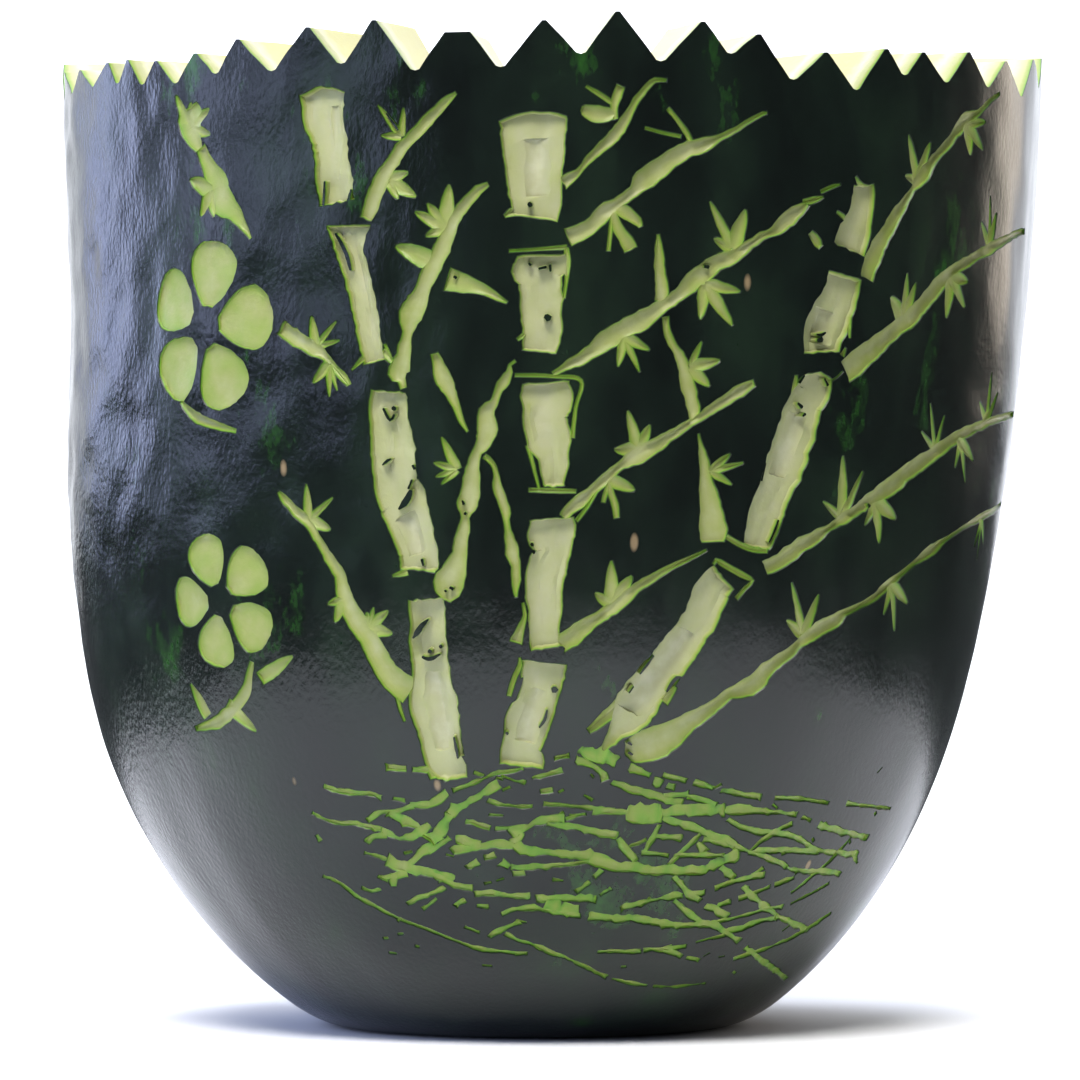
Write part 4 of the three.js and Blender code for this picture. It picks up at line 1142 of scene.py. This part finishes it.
# %% [markdown]
# ## Colours and nodes
#
# Colours are written as the hex values that a paint program shows. Blender computes in linear light,
# so one function turns them over. One more function adds a node, sets it and links it, and the
# materials below are lists of such calls.

# %% Helpers for materials
def linear(hex_colour):
    channels = [int(hex_colour[i:i + 2], 16) / 255 for i in (1, 3, 5)]
    return tuple(c / 12.92 if c <= 0.04045 else ((c + 0.055) / 1.055) ** 2.4 for c in channels) + (1,)


def add(material, kind, inputs=None, **settings):
    """Adds a node. An input is given a value or another node's output."""
    node = material.node_tree.nodes.new(kind)
    for name, value in settings.items():
        setattr(node, name, value)
    for socket, value in (inputs or {}).items():
        if isinstance(value, bpy.types.NodeSocket):
            material.node_tree.links.new(value, node.inputs[socket])
        else:
            node.inputs[socket].default_value = value
    return node


def new_material(name):
    material = bpy.data.materials.new(name)
    material.use_nodes = True
    material.node_tree.nodes.clear()
    return material


def set_ramp(node, stops):
    ramp = node.color_ramp
    while len(ramp.elements) > 1:
        ramp.elements.remove(ramp.elements[-1])
    ramp.elements[0].position, ramp.elements[0].color = stops[0][0], linear(stops[0][1])
    for position, colour in stops[1:]:
        ramp.elements.new(position).color = linear(colour)


# %% [markdown]
# ## The rind
#
# The rind of a winter melon is near-black green and lightly waxed. It is mottled with patches where
# the green shows through, and it carries a few dry tan scars. The wax gives it a soft gloss, and the
# fine pores under the wax break the gloss up.

# %% Waxy rind
def make_rind():
    material = new_material("waxed winter melon rind")
    place = add(material, "ShaderNodeTexCoord").outputs["Object"]
    stretched = add(material, "ShaderNodeMapping", {"Vector": place, "Scale": (1, 1, 0.45)}).outputs[0]
    cloud = add(material, "ShaderNodeTexNoise", {"Vector": stretched, "Scale": 1 / 0.022, "Detail": 5.0,
                                                 "Roughness": 0.6})
    base = add(material, "ShaderNodeValToRGB", {"Fac": cloud.outputs["Fac"]})
    set_ramp(base, [(0.3, "#080d0b"), (0.5, "#0d1611"), (0.66, "#132016"), (0.8, "#1d3a1a")])
    patch = add(material, "ShaderNodeTexNoise", {"Vector": stretched, "Scale": 1 / 0.03, "Detail": 8.0,
                                                 "Roughness": 0.7})
    patch_mask = add(material, "ShaderNodeMapRange", {"Value": patch.outputs["Fac"], "From Min": 0.6,
                                                      "From Max": 0.74, "To Max": 0.8})
    green = add(material, "ShaderNodeMix", {"Factor": patch_mask.outputs[0], "A": base.outputs[0],
                                            "B": linear("#2b5f1c")}, data_type="RGBA")
    cells = add(material, "ShaderNodeTexVoronoi", {"Vector": stretched, "Scale": 1 / 0.012,
                                                   "Randomness": 1.0})
    speck = add(material, "ShaderNodeMapRange", {"Value": cells.outputs["Distance"], "From Min": 0.05,
                                                 "From Max": 0.09, "To Min": 0.7, "To Max": 0.0})
    chosen = add(material, "ShaderNodeMath", {0: cells.outputs["Color"], 1: 0.72},
                 operation="GREATER_THAN")
    scar_mask = add(material, "ShaderNodeMath", {0: speck.outputs[0], 1: chosen.outputs[0]},
                    operation="MULTIPLY")
    scarred = add(material, "ShaderNodeMix", {"Factor": scar_mask.outputs[0],
                                              "A": green.outputs["Result"],
                                              "B": linear("#8d7a5c")}, data_type="RGBA")
    rough = add(material, "ShaderNodeMapRange", {"Value": cloud.outputs["Fac"], "To Min": 0.12,
                                                 "To Max": 0.32})
    fibre_place = add(material, "ShaderNodeMapping", {"Vector": place, "Scale": (1, 1, 0.6)}).outputs[0]
    fibres = add(material, "ShaderNodeTexNoise", {"Vector": fibre_place, "Scale": 1 / 0.0011,
                                                  "Detail": 4.0})
    sides = add(material, "ShaderNodeSeparateXYZ", {"Vector": place})
    coarse = add(material, "ShaderNodeMapRange", {"Value": sides.outputs["X"], "From Min": -0.1,
                                                  "From Max": 0.02, "To Min": 0.5, "To Max": 0.14})
    bump = add(material, "ShaderNodeBump", {"Height": fibres.outputs["Fac"],
                                            "Strength": coarse.outputs[0], "Distance": 0.00035})
    surface = add(material, "ShaderNodeBsdfPrincipled", {
        "Base Color": scarred.outputs["Result"], "Roughness": rough.outputs[0],
        "Normal": bump.outputs[0], "IOR": 1.42})
    add(material, "ShaderNodeOutputMaterial", {"Surface": surface.outputs[0]})
    return material


rind = make_rind()
print("rind nodes:", len(rind.node_tree.nodes))

# %% [markdown]
# ## The flesh
#
# Cut melon flesh is wet and lets light in. Its colour is a ramp over depth: the dark line of the rind
# at a cut's edge, the vivid green just under it, then pale yellow-green, and cream on the inner wall.
# A soft blotting over a few millimetres and a fine grain break the ramp up.

# %% Knife-cut flesh
RAMP_DEPTH = 8.0


def make_flesh():
    material = new_material("knife-cut winter melon flesh")
    place = add(material, "ShaderNodeTexCoord").outputs["Object"]
    depth = add(material, "ShaderNodeAttribute", attribute_name="depth").outputs["Fac"]
    blot = add(material, "ShaderNodeTexNoise", {"Vector": place, "Scale": 1 / 0.005, "Detail": 4.0})
    blot_mm = add(material, "ShaderNodeMapRange", {"Value": blot.outputs["Fac"], "From Min": 0.3,
                                                   "From Max": 0.7, "To Min": 0.78, "To Max": 1.22})
    uneven = add(material, "ShaderNodeMath", {0: depth, 1: blot_mm.outputs[0]}, operation="MULTIPLY")
    share = add(material, "ShaderNodeMath", {0: uneven.outputs[0], 1: 1 / RAMP_DEPTH},
                operation="MULTIPLY", use_clamp=True)
    ramp = add(material, "ShaderNodeValToRGB", {"Fac": share.outputs[0]})
    set_ramp(ramp, [(0.0, "#10180e"), (0.018, "#1a2d12"), (0.04, "#588522"), (0.08, "#768a37"),
                    (0.14, "#868e51"), (0.2, "#94996b"), (0.35, "#9b9d7a"), (0.6, "#b9ba9e"),
                    (1.0, "#aeac80")])
    grain = add(material, "ShaderNodeTexNoise", {"Vector": place, "Scale": 1 / 0.0011, "Detail": 3.0})
    bump = add(material, "ShaderNodeBump", {"Height": grain.outputs["Fac"], "Strength": 0.25,
                                            "Distance": 0.0003})
    surface = add(material, "ShaderNodeBsdfPrincipled", {
        "Base Color": ramp.outputs[0], "Roughness": 0.42, "Normal": bump.outputs[0], "IOR": 1.38,
        "Subsurface Weight": 0.2, "Subsurface Scale": 0.003,
        "Subsurface Radius": (0.8, 1.0, 0.35)})
    add(material, "ShaderNodeOutputMaterial", {"Surface": surface.outputs[0]})
    return material


flesh = make_flesh()
body.data.materials.clear()
body.data.materials.append(rind)
body.data.materials.append(flesh)
print("flesh faces:", sort_faces(body.data, depths))
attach(body, "root")
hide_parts("melon")
print("flesh nodes:", len(flesh.node_tree.nodes))

# %% [markdown]
# ## Floor, light and camera
#
# The melon stands on a plain pale floor in front of a pale wall. Its rind is nearly black and mirrors
# whatever stands round it, so what it mirrors has to be chosen. Of the stage it mirrors only the disc
# of floor near it and the wall: the edge of that disc is the soft line low on the rind. The wall
# stands so far off that a camera can go right round the melon without meeting it.

# %% Floor and wall
CARD_RADIUS = 0.33
FLOOR_REACH = 20.0
WALL_Y = 3.6
WALL_HALF_WIDTH = 3.6
WALL_HALF_HEIGHT = 2.6


def stage_piece(bm, name):
    piece = finish_object(bm, name, closed=False)
    piece.data.materials.append(paint)
    return piece


paint = new_material("matt studio paint")
paint_surface = add(paint, "ShaderNodeBsdfPrincipled", {"Base Color": linear("#edf0f5"), "Roughness": 0.9})
add(paint, "ShaderNodeOutputMaterial", {"Surface": paint_surface.outputs[0]})

bm = bmesh.new()
bmesh.ops.create_circle(bm, cap_ends=True, radius=CARD_RADIUS, segments=96)
floor = stage_piece(bm, "floor")

bm = bmesh.new()
bmesh.ops.create_circle(bm, cap_ends=False, radius=CARD_RADIUS, segments=96)
ring = bmesh.ops.extrude_edge_only(bm, edges=bm.edges[:])["geom"]
outer = [item for item in ring if isinstance(item, bmesh.types.BMVert)]
bmesh.ops.scale(bm, verts=outer, vec=(FLOOR_REACH, FLOOR_REACH, 1))
far_floor = stage_piece(bm, "far_floor")
far_floor.visible_glossy = False

bm = bmesh.new()
bmesh.ops.create_grid(bm, x_segments=1, y_segments=1, size=1.0)
bmesh.ops.transform(bm, verts=bm.verts, matrix=Matrix.Translation((0, WALL_Y, WALL_HALF_HEIGHT))
                    @ Matrix.Rotation(math.pi / 2, 4, "X")
                    @ Matrix.Diagonal((WALL_HALF_WIDTH, WALL_HALF_HEIGHT, 1, 1)))
wall = stage_piece(bm, "wall")
wall.visible_diffuse = False
print("stage pieces:", [piece.name for piece in (floor, far_floor, wall)])


# %% [markdown]
# ## The lights
#
# A broad window and four narrow panes on the left draw the cool streaks of sheen down the rind, and
# one warm pane behind on the right lights the other edge. A soft box high in front lights the flesh,
# from so high up that the upright rind doesn't throw it back at the camera. The last light washes the
# wall behind.

# %% Lights
PANES = [(-122, 0.5), (-86, 0.3), (-63, 0.24), (-46, 0.16)]
PANE_AWAY = 1.5
PANE_TALL = 1.1
PANE_CENTRE = Vector((0, 0, 0.66))
PANE_POWER = 18
WARM_PANE_PLACE = (1.18, 0.92, 0.66)


def area_light(name, place, target, size, power, colour, spread=180):
    light = bpy.data.lights.new(name, "AREA")
    light.shape = "RECTANGLE"
    light.size, light.size_y = size
    light.energy = power
    light.color = linear(colour)[:3]
    light.spread = math.radians(spread)
    holder = bpy.data.objects.new(name, light)
    holder.location = place
    aim = Vector(target) - Vector(place)
    holder.rotation_mode = "QUATERNION"
    holder.rotation_quaternion = aim.to_track_quat("-Z", "Y")
    holder.visible_camera = False
    bpy.context.scene.collection.objects.link(holder)


middle = (cad_box[0] + cad_box[1]) / 2
area_light("window", (-1.4, 0.25, 0.65), middle, (2.0, 1.3), 7, "#c8d6ff")
for number, (turn, width) in enumerate(PANES):
    side = Vector((math.sin(math.radians(turn)), -math.cos(math.radians(turn)), 0)) * PANE_AWAY
    area_light(f"pane_{number}", side + PANE_CENTRE, PANE_CENTRE, (width, PANE_TALL),
               PANE_POWER * width, "#c0ccfa")
area_light("warm_pane", WARM_PANE_PLACE, PANE_CENTRE, (0.4, PANE_TALL), 6, "#fff0de")
area_light("soft_box", (-0.3, -1.2, 1.7), middle, (1.2, 0.7), 11.5, "#fffaf4", spread=70)
area_light("overhead", (0.0, 0.0, 1.4), middle, (0.8, 0.8), 3, "#f2f5ff", spread=60)
area_light("wall_wash", (0, 1.2, 2.6), (0, WALL_Y, 0.7), (4.4, 0.6), 300, "#ffffff", spread=172)


# %% [markdown]
# ## The room
#
# The room in front of the melon stays dim, so that the rind stays dark. What the camera sees past the
# stage is pale all the same.

# %% The room
def make_room():
    world = bpy.data.worlds.new("room")
    world.use_nodes = True
    nodes, links = world.node_tree.nodes, world.node_tree.links
    dim = nodes["Background"]
    dim.inputs["Color"].default_value = linear("#dfe4f0")
    dim.inputs["Strength"].default_value = 0.1
    pale = nodes.new("ShaderNodeBackground")
    pale.inputs["Color"].default_value = linear("#f6f6f6")
    seen = nodes.new("ShaderNodeLightPath")
    mix = nodes.new("ShaderNodeMixShader")
    links.new(seen.outputs["Is Camera Ray"], mix.inputs["Fac"])
    links.new(dim.outputs[0], mix.inputs[1])
    links.new(pale.outputs[0], mix.inputs[2])
    links.new(mix.outputs[0], nodes["World Output"].inputs["Surface"])
    return world


bpy.context.scene.world = make_room()
bpy.context.scene.view_settings.view_transform = "Standard"

# %% [markdown]
# ## The camera
#
# A long lens looks level from a metre and a half away, at half the melon's height, so the teeth at the
# back hide behind the front ones.

# %% Camera
CAMERA_PLACE = (-0.003, -1.56, 0.118)
LENS_MM = 213.2
SENSOR_MM = 36
camera_data = bpy.data.cameras.new("camera")
camera_data.lens = LENS_MM
camera_data.sensor_width = SENSOR_MM
camera = bpy.data.objects.new("camera", camera_data)
camera.location = CAMERA_PLACE
camera.rotation_euler = (math.pi / 2, 0, 0)
bpy.context.scene.collection.objects.link(camera)
bpy.context.scene.camera = camera
